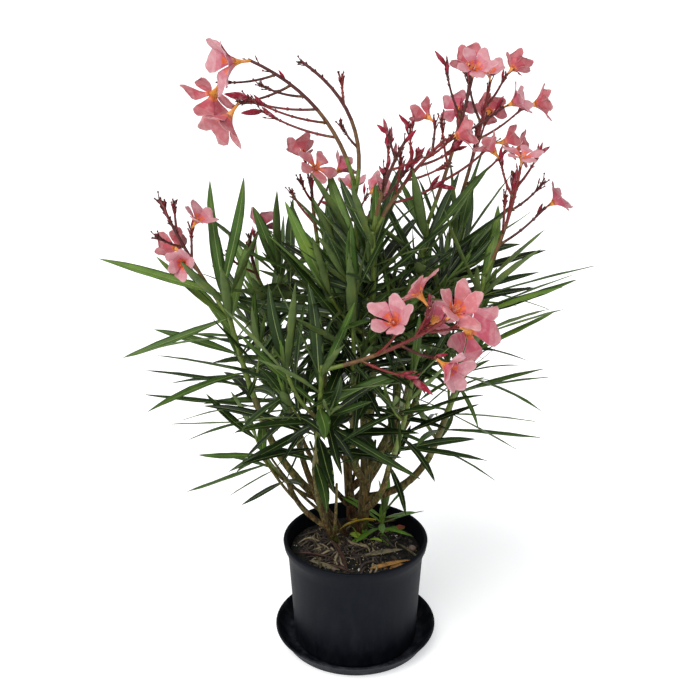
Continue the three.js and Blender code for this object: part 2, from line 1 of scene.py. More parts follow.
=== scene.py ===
"""Looks of the potted oleander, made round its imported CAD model.

The plant grows here by the same rule and from the same named sizes as the model's source: stems,
boughs, shoots with leaves in whorls of three, and loose panicles. It is then carried on to finer
parts: petioles and midribs, spears of young leaves, bracts, sepals and short flower stalks.
Growth is worked out in millimetres, and Piece makes the meshes in metres. +Z is up.
Headings are degrees round Z: 0 is +X, 90 is +Y. Leans are degrees from upright.
"""

import math

import bpy
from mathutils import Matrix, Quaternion, Vector, noise
from mathutils.bvhtree import BVHTree


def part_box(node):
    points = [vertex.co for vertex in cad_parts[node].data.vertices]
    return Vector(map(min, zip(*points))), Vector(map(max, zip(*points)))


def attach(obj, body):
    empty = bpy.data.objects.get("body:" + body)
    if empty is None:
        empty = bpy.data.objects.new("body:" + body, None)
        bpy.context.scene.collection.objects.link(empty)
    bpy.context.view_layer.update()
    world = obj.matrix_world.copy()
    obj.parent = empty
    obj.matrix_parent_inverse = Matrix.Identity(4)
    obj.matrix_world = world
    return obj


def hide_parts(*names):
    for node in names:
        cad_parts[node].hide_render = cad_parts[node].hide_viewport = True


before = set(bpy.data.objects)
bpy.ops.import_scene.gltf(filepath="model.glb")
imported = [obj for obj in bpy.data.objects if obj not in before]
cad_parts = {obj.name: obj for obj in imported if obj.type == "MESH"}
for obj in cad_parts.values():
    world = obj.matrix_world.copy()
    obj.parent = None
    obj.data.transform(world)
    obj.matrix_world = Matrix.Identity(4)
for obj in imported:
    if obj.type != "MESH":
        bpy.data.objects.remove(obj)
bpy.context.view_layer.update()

MM = 0.001
UP = Vector((0, 0, 1))
WORD = 0xFFFFFFFF
GOLDEN = 0.618
GOLDEN_TURN = 137.5

# ---------------------------------------------------------------- sizes shared with the source

SOIL_TOP = 145
GAP = 0.3
LEAF = {"length": 160, "width": 19, "root": 1.6, "keel": 1.9, "widest": 0.38}
WHORL = {
    "leaves": 3, "turn": 60, "low_lean": 74, "tip_lean": 18, "bloom_lean": 38, "bloom_top": 0.9,
    "first": 0.05, "side_spacing": 27, "turn_spread": 22, "lean_spread": 26, "roll_spread": 50, "least": 0.82,
    "size_spread": 0.3, "sag": (0.18, -0.03), "sag_spread": 0.2, "seat": 0.35,
}
FLOWER = {"tube": 17, "throat": 4.6, "petal": 26}
BUD = {"length": 24, "radius": 3.4}
STALK = {
    "radius": 1.5, "tip_radius": 1, "axis_thicker": 1.5, "branch": 38, "rise": 0.05, "nod": 38,
}
PANICLE = {"from": 0.3, "to": 0.93, "turn_spread": 30, "angle_spread": 16, "length": (1.1, 0.7)}
LONG = {"width": 14, "sag": 0.02, "share": 1.02}
FLARE = {"height": 14, "extra": 3}
TWIG_SIDES = 3
TWIG_STEP = 55
TWIG_FOOT = 0.95  # share of the bough's tip radius
TWIG_TIP = 2.7
SHOOT_TIP = 0.985
SIDE_SHOOT = {"bow": 0.08, "thinner": 0.8, "phase": 40, "from": 0.35, "steps": 2}

# Stems: foot, heading, lean, length, bow and the radii at the foot and the fork.
TRUNKS = {
    "trunk_main": ((9, 32), -75, 8, 150, 3, (9.5, 6.5)),
    "trunk_left": ((-15, 31), 200, 30, 92, 1, (8, 6)),
    "trunk_front": ((-23, 7), 235, 28, 98, 4, (6.2, 4.8)),
    "trunk_back": ((-3, 58), 110, 14, 120, 4, (8, 6)),
}

# Boughs: the stem, the share of its length where they leave it, heading, lean, length, bow, radii.
BOUGHS = {
    "center": ("trunk_main", 1, -65, 12, 105, 0, (6.2, 4.9)),
    "right": ("trunk_main", 0.5, -14, 50, 124, 15, (6, 4.8)),
    "mid": ("trunk_main", 0.7, -118, 24, 95, 10, (5, 4.2)),
    "tall": ("trunk_main", 0.78, 96, 7, 160, 13, (5.4, 4.4)),
    "top_right": ("trunk_main", 0.8, 8, 18, 150, 13, (5.4, 4.4)),
    "front_right": ("trunk_main", 0.36, -62, 36, 120, 11, (4.8, 4)),
    "left": ("trunk_left", 1, 191, 31, 135, 8, (5.8, 4.7)),
    "left_back": ("trunk_left", 0.6, 138, 28, 125, 10, (5, 4.2)),
    "front_left": ("trunk_front", 1, 262, 26, 95, 5, (4.6, 4)),
    "low_left": ("trunk_front", 0.55, 190, 36, 95, 9, (4, 3.4)),
    "back_left": ("trunk_back", 1, 176, 13, 150, 9, (5.6, 4.4)),
    "far_right": ("trunk_back", 0.5, 6, 32, 200, 18, (5.4, 4.4)),
    "back_center": ("trunk_back", 0.72, 72, 20, 150, 13, (5, 4.2)),
    "back_right": ("trunk_back", 0.3, 44, 42, 160, 14, (4.6, 3.8)),
    "low_back": ("trunk_back", 0.28, 145, 44, 140, 12, (4.4, 3.6)),
}


def panicle(at, arc, stalk, ends, fan=0, spread=360, bloom=1, branch=STALK["branch"]):
    """A panicle on a shoot. `ends` has a letter for each stalk from the lowest up, the axis last:
    F is a flower, B a bud and T a bare tip."""
    return {
        "at": at, "arc": arc, "stalk": stalk, "ends": ends, "fan": fan, "spread": spread,
        "bloom": bloom, "branch": branch,
    }


# Masses: the leading shoot's heading, lean, length and bow, then its whorls, phase and seed, its
# side shoots as (share, heading, lean, length), its panicles and the scale of its leaves.
MASSES = {
    "center": (-95, 5, 235, 0, 9, 20, 11, [(0.35, 200, 42, 90)], [
        panicle(0.98, (12, 38, 150, -8), 56, "BTBTBBTFF"),
        panicle(1, (-30, 20, 125, -6), 55, "BBBTBB", fan=60),
    ], 1),
    "right": (0, 14, 272, 8, 9, 105, 12, [(0.1, 150, 30, 70)], [
        panicle(1, (12, 16, 150, 6), 66, "FTBTFBF"),
    ], 1),
    "mid": (-85, 6, 188, 2, 8, 50, 13, [], [], 1),
    "tall": (190, 3, 258, 2, 8, 0, 14, [(0.2, 150, 45, 80)], [
        panicle(1, (181, 40, 210, -26), 100, "BBTTFFF", fan=270, spread=110, bloom=1.55, branch=50),
        panicle(0.95, (178, 22, 185, -32), 35, "TTT"),
    ], 1),
    "top_right": (0, 9, 225, 3, 9, 35, 15, [(0.4, 20, 35, 110)], [
        panicle(1, (20, 17, 196, 4), 78, "FTFFBFF"),
    ], 1),
    "front_right": (-55, 18, 155, 5, 6, 10, 16, [], [], 0.85),
    "left": (197, 14, 215, 4, 8, 0, 17, [], [
        panicle(0.8, (172, 29, 180, 4), 42, "FFFTTTT", fan=90),
    ], 1),
    "left_back": (166, 12, 225, 5, 8, 40, 18, [(0.4, 110, 40, 80)], [
        panicle(1, (190, 12, 75, 4), 40, "TFT"),
    ], 1),
    "front_left": (-76, 17, 172, 4, 7, 25, 19, [(0.5, 190, 30, 80)], [
        panicle(0.96, (-12, 63, 175, 8), 62, "BFFFFFF", bloom=1.34),
    ], 1),
    "low_left": (200, 30, 85, 5, 4, 15, 20, [], [], 0.75),
    "back_left": (180, 2, 175, 2, 6, 30, 21, [(0.4, 200, 42, 90)], [
        panicle(1, (150, 6, 95, 2), 55, "TFTFF"),
    ], 1),
    "far_right": (10, 9, 235, 3, 8, 15, 22, [(0.4, 60, 45, 90)], [
        panicle(1, (0, 13, 205, 4), 75, "FTFFBFF"),
    ], 1),
    "back_center": (80, 12, 175, 3, 7, 45, 23, [(0.35, 120, 45, 90)], [
        panicle(1, (100, 42, 100, 8), 45, "TFBFF"),
    ], 1),
    "back_right": (45, 16, 170, 4, 5, 5, 24, [], [], 1),
    "low_back": (145, 22, 165, 4, 5, 55, 25, [], [], 1),
}
# Shoots whose leaves end lower than on the other shoots with panicles.
LEAF_TOP = {"tall": 0.66, "back_left": 0.68}
SPROUT = {"foot": (37, 42), "shoot": (-20, 8, 38, 0, 5, 70, 31, [], [], 0.46), "radii": (2.6, 1.6)}
BRIGHT_SPROUTS = 0.7

# Single leaves that reach out further than the whorls do: share, heading, lean, length and roll.
LONG_LEAVES = {
    "left": [
        (0.95, 181, 71, 170, -40), (0.8, 193, 108, 148, -20), (0.42, 188, 74, 120, 10),
        (0.15, 191, 76, 155, 0), (0.05, 199, 86, 128, 20), (0.98, 143, 13, 149, -50),
        (0.98, 40, 15, 154, 45),
    ],
    "right": [
        (0.9, 2, 73, 155, -20), (0.8, -5, 66, 118, 10), (0.82, 8, 70, 135, -20),
        (0.68, -4, 70, 130, -20), (0.38, -8, 75, 128, -20), (0.25, -8, 88, 120, -15),
        (0.95, -12, 42, 112, -30),
    ],
    "low_left": [(0.5, 174, 112, 130, 0)],
    "front_right": [(0.3, -2, 99, 124, 10)],
    "front_left": [(0.45, 200, 108, 130, -30), (0.5, -20, 115, 150, 30)],
}


# ---------------------------------------------------------------- small helpers


def lerp(a, b, t):
    """The value at a share of the way from a to b."""
    return a + (b - a) * t


def smooth(t):
    """A soft step from 0 to 1."""
    t = min(max(t, 0), 1)
    return t * t * (3 - 2 * t)


def turned(v, axis, degrees):
    """A vector turned round an axis."""
    return Quaternion(axis, math.radians(degrees)) @ v


def swung(v, w, degrees):
    """The direction at an angle from v towards w."""
    a = math.radians(degrees)
    return v * math.cos(a) + w * math.sin(a)


def headed(heading):
    """The level direction of a heading."""
    return Vector((math.cos(math.radians(heading)), math.sin(math.radians(heading)), 0))


def angles(sides):
    """Even angles round a circle, in radians."""
    return [2 * math.pi * i / sides for i in range(sides)]


def round_axis(radius, sides):
    """The x and y of points round the upright axis."""
    return [(radius * math.cos(a), radius * math.sin(a)) for a in angles(sides)]


def circle(centre, u, v, radius, sides):
    """Points round a centre, in the plane of u and v."""
    return [centre + u * radius * math.cos(a) + v * radius * math.sin(a) for a in angles(sides)]


class Seeded:
    """Mulberry32: the same draws for the same seed, and the same as the source draws."""

    def __init__(self, seed):
        self.state = seed & WORD

    def __call__(self):
        self.state = (self.state + 0x6D2B79F5) & WORD
        t = self.state
        t = ((t ^ (t >> 15)) * (t | 1)) & WORD
        t ^= (t + (t ^ (t >> 7)) * (t | 61)) & WORD
        return (t ^ (t >> 14)) / (WORD + 1)

    def between(self, low, high):
        return lerp(low, high, self())


class Arc:
    """A limb's centre line: a chord from its foot, bowed in the upright plane of its heading."""

    def __init__(self, foot, heading, lean, length, bow):
        h = headed(heading)
        self.foot, self.length, self.bow = foot, length, bow
        self.side = Vector((-h.y, h.x, 0))
        self.chord = swung(UP, h, lean)
        self.out = swung(h, -UP, lean)

    def point(self, t):
        return self.foot + self.chord * self.length * t + self.out * 4 * self.bow * t * (1 - t)

    def tangent(self, t):
        return (self.chord * self.length + self.out * 4 * self.bow * (1 - 2 * t)).normalized()


def branching(line, t, turn, angle):
    """The direction at `angle` degrees from the line, `turn` degrees round it."""
    tangent = line.tangent(t)
    radial = swung(line.side, tangent.cross(line.side), turn)
    return tangent, radial, swung(tangent, radial, angle)


def offshoot(line, t, turn, angle, length):
    """A short arc that leaves a line at an angle and turns up a little."""
    _, _, forward = branching(line, t, turn, angle)
    heading = math.degrees(math.atan2(forward.y, forward.x))
    lean = math.degrees(math.acos(forward.z))
    return Arc(line.point(t), heading, lean, length, length * STALK["rise"])


# ---------------------------------------------------------------- forms as points and faces


def ring(centre, tangent, side, radius, sides):
    """Points round a centre. `radius` is a number or a function of the angle."""
    across = tangent.cross(side).normalized()
    flat = across.cross(tangent)
    made = []
    for a in angles(sides):
        r = radius(a) if callable(radius) else radius
        made.append(centre + flat * (r * math.cos(a)) + across * (r * math.sin(a)))
    return made


def loft(rings):
    """Faces through rings of equally many points. A first or last ring of one point is a tip."""
    points, starts = [], []
    for each in rings:
        starts.append(len(points))
        points.extend(each)
    faces = []
    for low, high, a, b in zip(rings, rings[1:], starts, starts[1:]):
        n = max(len(low), len(high))
        for i in range(n):
            j = (i + 1) % n
            if len(low) == 1:
                faces.append((a, b + j, b + i))
            elif len(high) == 1:
                faces.append((a + i, a + j, b))
            else:
                faces.append((a + i, a + j, b + j, b + i))
    if len(rings[0]) > 1:
        faces.append(tuple(reversed(range(len(rings[0])))))
    if len(rings[-1]) > 1:
        faces.append(tuple(range(starts[-1], len(points))))
    return points, faces


def tube(line, radii, sides, steps, seat=None, swell=None):
    """A tapering tube along a line. `swell` changes the radius at a share of the length."""
    rings = []
    for k in range(steps + 1):
        t = k / steps
        tangent = seat if seat and k == 0 else line.tangent(t)
        radius = lerp(radii[0], radii[1], t) * (swell(t) if swell else 1)
        rings.append(ring(line.point(t), tangent, line.side, radius, sides))
    return loft(rings)


class Piece:
    """Gathers forms in millimetres and makes one joined mesh of them, in metres."""

    def __init__(self, name, finishes):
        self.name, self.finishes = name, finishes
        self.points, self.faces, self.finish = [], [], []

    def add(self, form, finish):
        """`finish` is one finish for the form, or a list with one for each face."""
        points, faces = form
        start = len(self.points)
        self.points.extend(points)
        self.faces.extend(tuple(start + i for i in face) for face in faces)
        names = [finish] * len(faces) if isinstance(finish, str) else finish
        self.finish.extend(self.finishes.index(name) for name in names)

    def make(self, slot, replaced=(), shaded=True):
        """Makes the mesh, which stands for the nodes in `replaced`."""
        mesh = bpy.data.meshes.new(self.name)
        mesh.from_pydata([p * MM for p in self.points], [], self.faces)
        for name in self.finishes:
            mesh.materials.append(material(name))
        mesh.polygons.foreach_set("material_index", self.finish)
        mesh.polygons.foreach_set("use_smooth", [shaded] * len(self.faces))
        made = bpy.data.objects.new(self.name, mesh)
        bpy.context.scene.collection.objects.link(made)
        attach(made, "root")
        if replaced:
            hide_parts(*replaced)


# ---------------------------------------------------------------- finishes


def srgb(red, green, blue):
    """A linear colour from the everyday 0 to 255 values."""
    return tuple(
        ((c / 255 + 0.055) / 1.055) ** 2.4 if c > 10 else c / 255 / 12.92 for c in (red, green, blue)
    ) + (1,)


BLACK, WHITE, COOL_WHITE = (0, 0, 0, 1), (1, 1, 1, 1), (0.97, 0.985, 1, 1)


class Nodes:
    """A node material with one Principled shader, and the nodes that feed it."""

    def __init__(self, name):
        self.material = bpy.data.materials.new(name)
        self.material.use_nodes = True
        self.tree = self.material.node_tree
        self.shader = self.tree.nodes["Principled BSDF"]
        self.place = self.tree.nodes.new("ShaderNodeTexCoord").outputs["Object"]

    def node(self, kind, links=None, **settings):
        made = self.tree.nodes.new(kind)
        for key, value in settings.items():
            setattr(made, key, value)
        for socket, source in (links or {}).items():
            if isinstance(source, bpy.types.NodeSocket):
                self.tree.links.new(source, made.inputs[socket])
            else:
                made.inputs[socket].default_value = source
        return made

    def noise(self, size, detail=3, place=None, roughness=0.55):
        """Noise whose features are about `size` millimetres across."""
        links = {
            "Vector": place or self.place, "Scale": 1 / (size * MM), "Detail": detail,
            "Roughness": roughness,
        }
        return self.node("ShaderNodeTexNoise", links).outputs["Fac"]

    def stretched(self, x, y, z):
        """The place with each axis scaled: a small number draws noise out along that axis."""
        links = {"Vector": self.place, "Scale": (x, y, z)}
        return self.node("ShaderNodeMapping", links).outputs["Vector"]

    def ramp(self, factor, *stops):
        """Stops are (position, colour), in order."""
        made = self.node("ShaderNodeValToRGB", {"Fac": factor})
        elements = made.color_ramp.elements
        while len(elements) < len(stops):
            elements.new(0.5)
        for element, (position, colour) in zip(elements, stops):
            element.position, element.color = position, colour
        return made.outputs["Color"]

    def tones(self, factor, stops):
        """A ramp of everyday 0 to 255 colours, by their positions."""
        return self.ramp(factor, *((position, srgb(*colour)) for position, colour in stops.items()))

    def patches(self, factor, start, stop):
        """0 below the start and 1 above the stop."""
        return self.ramp(factor, (start, BLACK), (stop, WHITE))

    def height(self, low, high, to_low=0, to_high=1):
        """A value that follows the height, both heights in metres."""
        z = self.node("ShaderNodeSeparateXYZ", {"Vector": self.place}).outputs["Z"]
        links = {"Value": z, "From Min": low, "From Max": high, "To Min": to_low, "To Max": to_high}
        return self.node("ShaderNodeMapRange", links).outputs["Result"]

    def mix(self, factor, a, b):
        made = self.node("ShaderNodeMix", data_type="RGBA")
        for index, source in ((0, factor), (6, a), (7, b)):
            if isinstance(source, bpy.types.NodeSocket):
                self.tree.links.new(source, made.inputs[index])
            else:
                made.inputs[index].default_value = source
        return made.outputs[2]

    def colour(self, source):
        self.tree.links.new(source, self.shader.inputs["Base Color"])

    def roughness(self, factor, low, high):
        links = {"Value": factor, "To Min": low, "To Max": high}
        made = self.node("ShaderNodeMapRange", links)
        self.tree.links.new(made.outputs["Result"], self.shader.inputs["Roughness"])

    def bump(self, height, depth, strength=0.6):
        """`depth` is in millimetres."""
        links = {"Height": height, "Distance": depth * MM, "Strength": strength}
        made = self.node("ShaderNodeBump", links)
        self.tree.links.new(made.outputs["Normal"], self.shader.inputs["Normal"])

    def set(self, values):
        for name, value in values.items():
            self.shader.inputs[name].default_value = value
        return self.material


def shade(colour, factor):
    """A colour made lighter or darker."""
    return tuple(min(c * factor, 1) for c in colour[:3]) + (1,)


def leaf_finish(name, colour, gloss=0.37):
    """Leathery blade: mottled green, slightly uneven gloss, fine pores."""
    nodes = Nodes(name)
    mottle = nodes.noise(26, 4)
    fine = nodes.noise(1.6, 2)
    warm = (colour[0] * 1.5, colour[1] * 1.22, colour[2] * 0.9, 1)
    stops = (0.3, shade(colour, 0.68)), (0.52, colour), (0.74, warm)
    nodes.colour(nodes.ramp(mottle, *stops))
    nodes.roughness(mottle, gloss - 0.06, gloss + 0.12)
    nodes.bump(fine, 0.12, 0.5)
    return nodes.set({"Specular IOR Level": 0.28})


def plain_plant_finish(name, colour, size=4, contrast=0.3, gloss=0.55):
    """Ribs, stalks and dry parts: one colour with a fine uneven tone."""
    nodes = Nodes(name)
    grain = nodes.noise(size, 3)
    stops = (0.3, shade(colour, 1 - contrast)), (0.7, shade(colour, 1 + contrast))
    nodes.colour(nodes.ramp(grain, *stops))
    nodes.roughness(grain, gloss - 0.08, gloss + 0.08)
    nodes.bump(nodes.noise(1.1, 2), 0.1, 0.4)
    return nodes.material


def petal_finish(name, colour):
    """Soft petal: faint clouds of tone, a velvety sheen and fine crumples."""
    nodes = Nodes(name)
    cloud = nodes.noise(9, 4)
    pale = tuple(lerp(c, 1, 0.15) for c in colour[:3]) + (1,)
    nodes.colour(nodes.ramp(cloud, (0.32, shade(colour, 0.88)), (0.5, colour), (0.72, pale)))
    nodes.roughness(cloud, 0.5, 0.66)
    nodes.bump(nodes.noise(2.2, 3), 0.25, 0.5)
    return nodes.set({"Specular IOR Level": 0.2, "Sheen Weight": 0.06, "Sheen Roughness": 0.5})


def bark_finish(name):
    """Brown at the foot, olive and then green higher up, with darker streaks and pale lenticels."""
    nodes = Nodes(name)
    streak = nodes.noise(3.2, 5, nodes.stretched(1, 1, 0.2), 0.65)
    patch = nodes.noise(16, 3, nodes.stretched(1, 1, 0.5))
    dark, middle, pale = 0.36, 0.5, 0.64
    old = nodes.tones(streak, {dark: (30, 24, 16), middle: (74, 58, 36), pale: (122, 98, 62)})
    young = nodes.tones(streak, {dark: (42, 46, 20), middle: (76, 80, 34), pale: (106, 106, 48)})
    russet = nodes.tones(streak, {dark: (46, 26, 16), pale: (104, 62, 38)})
    moss = nodes.tones(streak, {dark: (34, 40, 14), pale: (88, 96, 40)})
    green = nodes.noise(24, 3, nodes.stretched(1.3, 0.9, 0.45))
    aged = nodes.mix(nodes.patches(patch, 0.5, 0.62), old, russet)
    aged = nodes.mix(nodes.patches(green, 0.53, 0.64), aged, moss)
    spots = nodes.node("ShaderNodeTexVoronoi", {"Vector": nodes.stretched(1, 1, 0.55), "Scale": 260})
    lenticel = nodes.ramp(spots.outputs["Distance"], (0.08, WHITE), (0.2, BLACK))
    skin = nodes.mix(nodes.height(0.17, 0.4), aged, young)
    nodes.colour(nodes.mix(lenticel, skin, srgb(140, 122, 88)))
    nodes.roughness(streak, 0.6, 0.85)
    nodes.bump(streak, 1.0, 0.9)
    return nodes.set({"Specular IOR Level": 0.15})


def plastic_finish(name, colour, dust):
    """Satin moulded plastic: a faint orange-peel skin, scuffs, and dust that thins upwards."""
    nodes = Nodes(name)
    scuff = nodes.noise(14, 6, nodes.stretched(1, 1, 0.35), 0.65)
    links = {0: nodes.patches(scuff, 0.42, 0.72), 1: nodes.height(0, 0.17, dust, dust * 0.35)}
    cover = nodes.node("ShaderNodeMath", links, operation="MULTIPLY").outputs[0]
    nodes.colour(nodes.mix(cover, colour, srgb(92, 93, 99)))
    nodes.roughness(scuff, 0.48, 0.7)
    nodes.bump(nodes.noise(0.9, 2), 0.06, 0.5)
    return nodes.set({"Specular IOR Level": 0.12, "Specular Tint": (0.78, 0.88, 1, 1)})


def soil_finish(name):
    """Damp bark and peat: near-black crumbs with brown and tan flecks."""
    nodes = Nodes(name)
    crumbs = nodes.noise(3.2, 6, roughness=0.7)
    patch = nodes.noise(22, 3)
    dark = nodes.tones(crumbs, {0.36: (4, 4, 3), 0.55: (13, 12, 10), 0.75: (42, 39, 31)})
    light = nodes.tones(crumbs, {0.36: (6, 5, 4), 0.56: (20, 18, 15), 0.74: (98, 91, 70)})
    nodes.colour(nodes.mix(nodes.patches(patch, 0.45, 0.65), dark, light))
    nodes.roughness(crumbs, 0.7, 0.95)
    nodes.bump(nodes.noise(1.4, 4), 1.1, 0.9)
    return nodes.material


def mineral_finish(name, colour):
    """Grit and stone: a rough grain."""
    nodes = Nodes(name)
    grain = nodes.noise(1.5, 5, roughness=0.7)
    nodes.colour(nodes.ramp(grain, (0.3, shade(colour, 0.6)), (0.6, colour), (0.8, shade(colour, 1.2))))
    nodes.roughness(grain, 0.7, 0.95)
    nodes.bump(grain, 0.4, 0.8)
    return nodes.material


def dry_finish(name, colour, spot):
    """A dead leaf, with blotches in the darker tone of `spot`."""
    nodes = Nodes(name)
    blotch = nodes.noise(9, 5, roughness=0.65)
    nodes.colour(nodes.ramp(blotch, (0.34, srgb(*spot)), (0.5, colour), (0.72, shade(colour, 1.35))))
    nodes.roughness(blotch, 0.6, 0.85)
    nodes.bump(nodes.noise(1.2, 3), 0.35, 0.7)
    return nodes.material


def floor_finish(name):
    """A white table that glows faintly by itself: painted light that lightens the shadows cast on it."""
    nodes = Nodes(name)
    cloud = nodes.noise(400, 2)
    nodes.colour(nodes.ramp(cloud, (0.3, (0.93, 0.93, 0.94, 1)), (0.7, (0.95, 0.95, 0.955, 1))))
    # Painted light: the floor's own glow keeps the shadows on it faint.
    painted_glow = {"Emission Color": COOL_WHITE, "Emission Strength": 0.42}
    return nodes.set({"Roughness": 0.9, "Specular IOR Level": 0.1, **painted_glow})


LEAF_TONES = ["leaf_deep", "leaf_dark", "leaf_mid", "leaf_fresh"]
# Each kind of finish with its materials: the colour, and what else that kind takes.
FINISHES = {
    leaf_finish: {
        "leaf_deep": (19, 35, 11), "leaf_dark": (38, 60, 22), "leaf_mid": (66, 96, 36),
        "leaf_fresh": (98, 130, 54), "leaf_sprout": (96, 142, 40), "leaf_lime": (140, 168, 58),
        "leaf_yellow": (188, 160, 52), "leaf_under": (90, 110, 58, 0.6),
    },
    plain_plant_finish: {
        "leaf_rib": (134, 150, 86, 6, 0.18, 0.5), "stem_green": (104, 122, 46, 7, 0.3, 0.5),
        "stem_olive": (98, 92, 44, 6, 0.35, 0.6), "stalk_brown": (106, 74, 40, 6, 0.34, 0.5),
        "stalk_red": (120, 36, 34, 5, 0.34, 0.5), "stalk_dark": (80, 28, 26, 5, 0.3, 0.55),
        "stalk_dry": (64, 46, 36, 4, 0.35, 0.8), "chip_dark": (12, 11, 9, 3, 0.4, 0.85),
        "chip_brown": (60, 50, 39, 3, 0.4, 0.85), "straw": (138, 124, 98, 5, 0.4, 0.8),
        "straw_grey": (58, 48, 43, 5, 0.4, 0.85),
    },
    petal_finish: {
        "tube_orange": (222, 146, 62), "petal_throat": (218, 104, 66), "petal_deep": (192, 88, 98),
        "petal_mid": (196, 114, 120), "petal_light": (198, 131, 135), "petal_edge": (199, 150, 151),
        "cool_deep": (196, 92, 112), "cool_mid": (197, 120, 132), "cool_light": (199, 138, 145),
        "cool_edge": (201, 157, 161), "bud_crimson": (138, 20, 44), "bud_pink": (164, 36, 62),
    },
    mineral_finish: {
        "perlite": (206, 203, 196), "stone": (122, 104, 96), "grain_tan": (176, 158, 104),
        "clay_red": (168, 84, 64),
    },
    dry_finish: {
        "dead_tan": (158, 114, 58, (92, 56, 30)), "dead_brown": (76, 50, 40, (38, 26, 22)),
        "dead_grey": (102, 94, 70, (52, 46, 36)),
    },
    plastic_finish: {"pot_skin": (9, 11, 18, 0.07), "saucer_skin": (10, 12, 19, 0.24)},
    bark_finish: {"bark_skin": ()},
    soil_finish: {"mix_crumbs": ()},
    floor_finish: {"floor": ()},
}
made_materials = {}


def material(name):
    """The material of that name, made once."""
    if name not in made_materials:
        finish, values = next((kind, all_of[name]) for kind, all_of in FINISHES.items() if name in all_of)
        colour = [srgb(*values[:3])] if values else []
        made_materials[name] = finish(name, *colour, *values[3:])
    return made_materials[name]


# ---------------------------------------------------------------- keeping clear

# The share of a leaf at its foot that may touch the rest of its own mass.
SUNK = 0.09
# Turns and rises that are tried for a leaf, and turns that are tried for a flower stalk.
TRIES = [(0, 0), (12, 6), (-12, -6), (22, -10), (-22, 10), (34, 16), (-34, -16)]
SHIFTS = [0, 35, -35, 70, -70, 120, -120]


class Body:
    """The space that a part of the plant takes."""

    def __init__(self, form, owner=None):
        points, faces = form
        self.owner = owner
        self.tree = BVHTree.FromPolygons(points, faces)
        self.low = [min(p[i] for p in points) for i in range(3)]
        self.high = [max(p[i] for p in points) for i in range(3)]

    def touches(self, other):
        near = all(self.low[i] <= other.high[i] and other.low[i] <= self.high[i] for i in range(3))
        return near and bool(self.tree.overlap(other.tree))


def node_form(name):
    """A node of the CAD model as points and faces, in millimetres."""
    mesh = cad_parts[name].data
    return [v.co / MM for v in mesh.vertices], [tuple(p.vertices) for p in mesh.polygons]


def clear(body, others, owner):
    """Whether a body is clear of all the others that aren't its owner's."""
    return not any(o.owner != owner and body.touches(o) for o in others)


placed = [Body(node_form(name), "pot") for name in ("pot", "potting_mix")]
placed += [Body(node_form(name), "wood") for name in TRUNKS]
placed += [Body(node_form("bough_" + name), "wood") for name in BOUGHS]


# ---------------------------------------------------------------- the growth rule


def blade_line(leaf):
    """The leaf's centre line by the share of its length: it droops with the square of it."""
    return lambda s: leaf["root"] + leaf["dir"] * leaf["length"] * s - UP * (
        leaf["sag"] * leaf["length"] * s * s
    )


def blade_body(leaf, start=0):
    """A leaf as the source makes it, from a share of its length on."""
    at = blade_line(leaf)
    side = leaf["dir"].cross(leaf["normal"])
    middle, half = at(LEAF["widest"]), leaf["width"] / 2
    points = [
        at(start) + leaf["normal"] * LEAF["root"] / 2, at(start) - leaf["normal"] * LEAF["root"] / 2,
        middle - side * half, middle + side * half, middle - leaf["normal"] * LEAF["keel"], at(1),
    ]
    faces = [(0, 3, 2), (0, 2, 1), (1, 2, 4), (0, 1, 3), (1, 4, 3), (2, 3, 5), (4, 2, 5), (3, 4, 5)]
    return points, faces


def flower_axes(end):
    """Two directions across the axis of a flower or bud."""
    u = UP.cross(end["axis"])
    u = Vector((1, 0, 0)) if u.length < 0.1 else u.normalized()
    return u, end["axis"].cross(u)


def head_body(end):
    """A flower as a star on a cone, or a bud as a spindle."""
    u, v = flower_axes(end)
    if end["kind"] == "B":
        levels = [(0, 0, 1), (BUD["radius"], BUD["length"] * 0.55, 3), (0, BUD["length"], 1)]
    else:
        deep = FLOWER["tube"]
        levels = [(0, 0, 1), (FLOWER["throat"], deep - 1, 10), (0, deep + 2, 1)]
    rings = []
    for radius, height, sides in levels:
        centre = end["base"] + end["axis"] * height * end["size"]
        rings.append([centre] if sides == 1 else circle(centre, u, v, radius * end["size"], sides))
    if end["kind"] == "F":
        rim = []
        for i in range(10):
            r, z = ((FLOWER["petal"], 6), (FLOWER["petal"] * 0.45, 5))[i % 2]
            reach = swung(u, v, end["turn"] + 36 * i)
            rim.append(end["base"] + (reach * r + end["axis"] * (deep + z)) * end["size"])
        rings.insert(2, rim)
    return loft(rings)


def whorls_of(shoot, scale, random):
    """Leaves of one shoot from its lower part to its tip, as the source grows them."""
    line, radii, whorls = shoot["line"], shoot["radii"], shoot["whorls"]
    grown = []
    for k in range(whorls):
        rank = k / (whorls - 1) if whorls > 1 else 1
        t = lerp(shoot["from"], shoot["to"], rank)
        for i in range(WHORL["leaves"]):
            draw = [random() for _ in range(6)]
            turn = shoot["phase"] + WHORL["turn"] * k + 360 / WHORL["leaves"] * i
            turn += WHORL["turn_spread"] * (draw[0] - 0.5)
            lean = lerp(WHORL["low_lean"], shoot["tip_lean"], rank**2)
            lean += WHORL["lean_spread"] * (draw[1] - 0.5)
            tangent, radial, forward = branching(line, t, turn, lean)
            roll = WHORL["roll_spread"] * (draw[2] - 0.5)
            long = scale * (WHORL["least"] + WHORL["size_spread"] * draw[3])
            long = long * (1 - 0.25 * rank**3) * (1 - 0.35 * (1 - rank) ** 4)
            wide = WHORL["least"] + WHORL["size_spread"] * draw[4]
            grown.append({
                "root": line.point(t) + radial * WHORL["seat"] * lerp(radii[0], radii[1], t),
                "normal": turned(swung(-radial, tangent, lean), forward, roll),
                "twig": tangent, "dir": forward, "rank": rank, "shoot": shoot,
                "length": LEAF["length"] * long, "width": LEAF["width"] * scale * wide,
                "sag": lerp(*WHORL["sag"], rank) + WHORL["sag_spread"] * (draw[5] - 0.5),
            })
    return grown


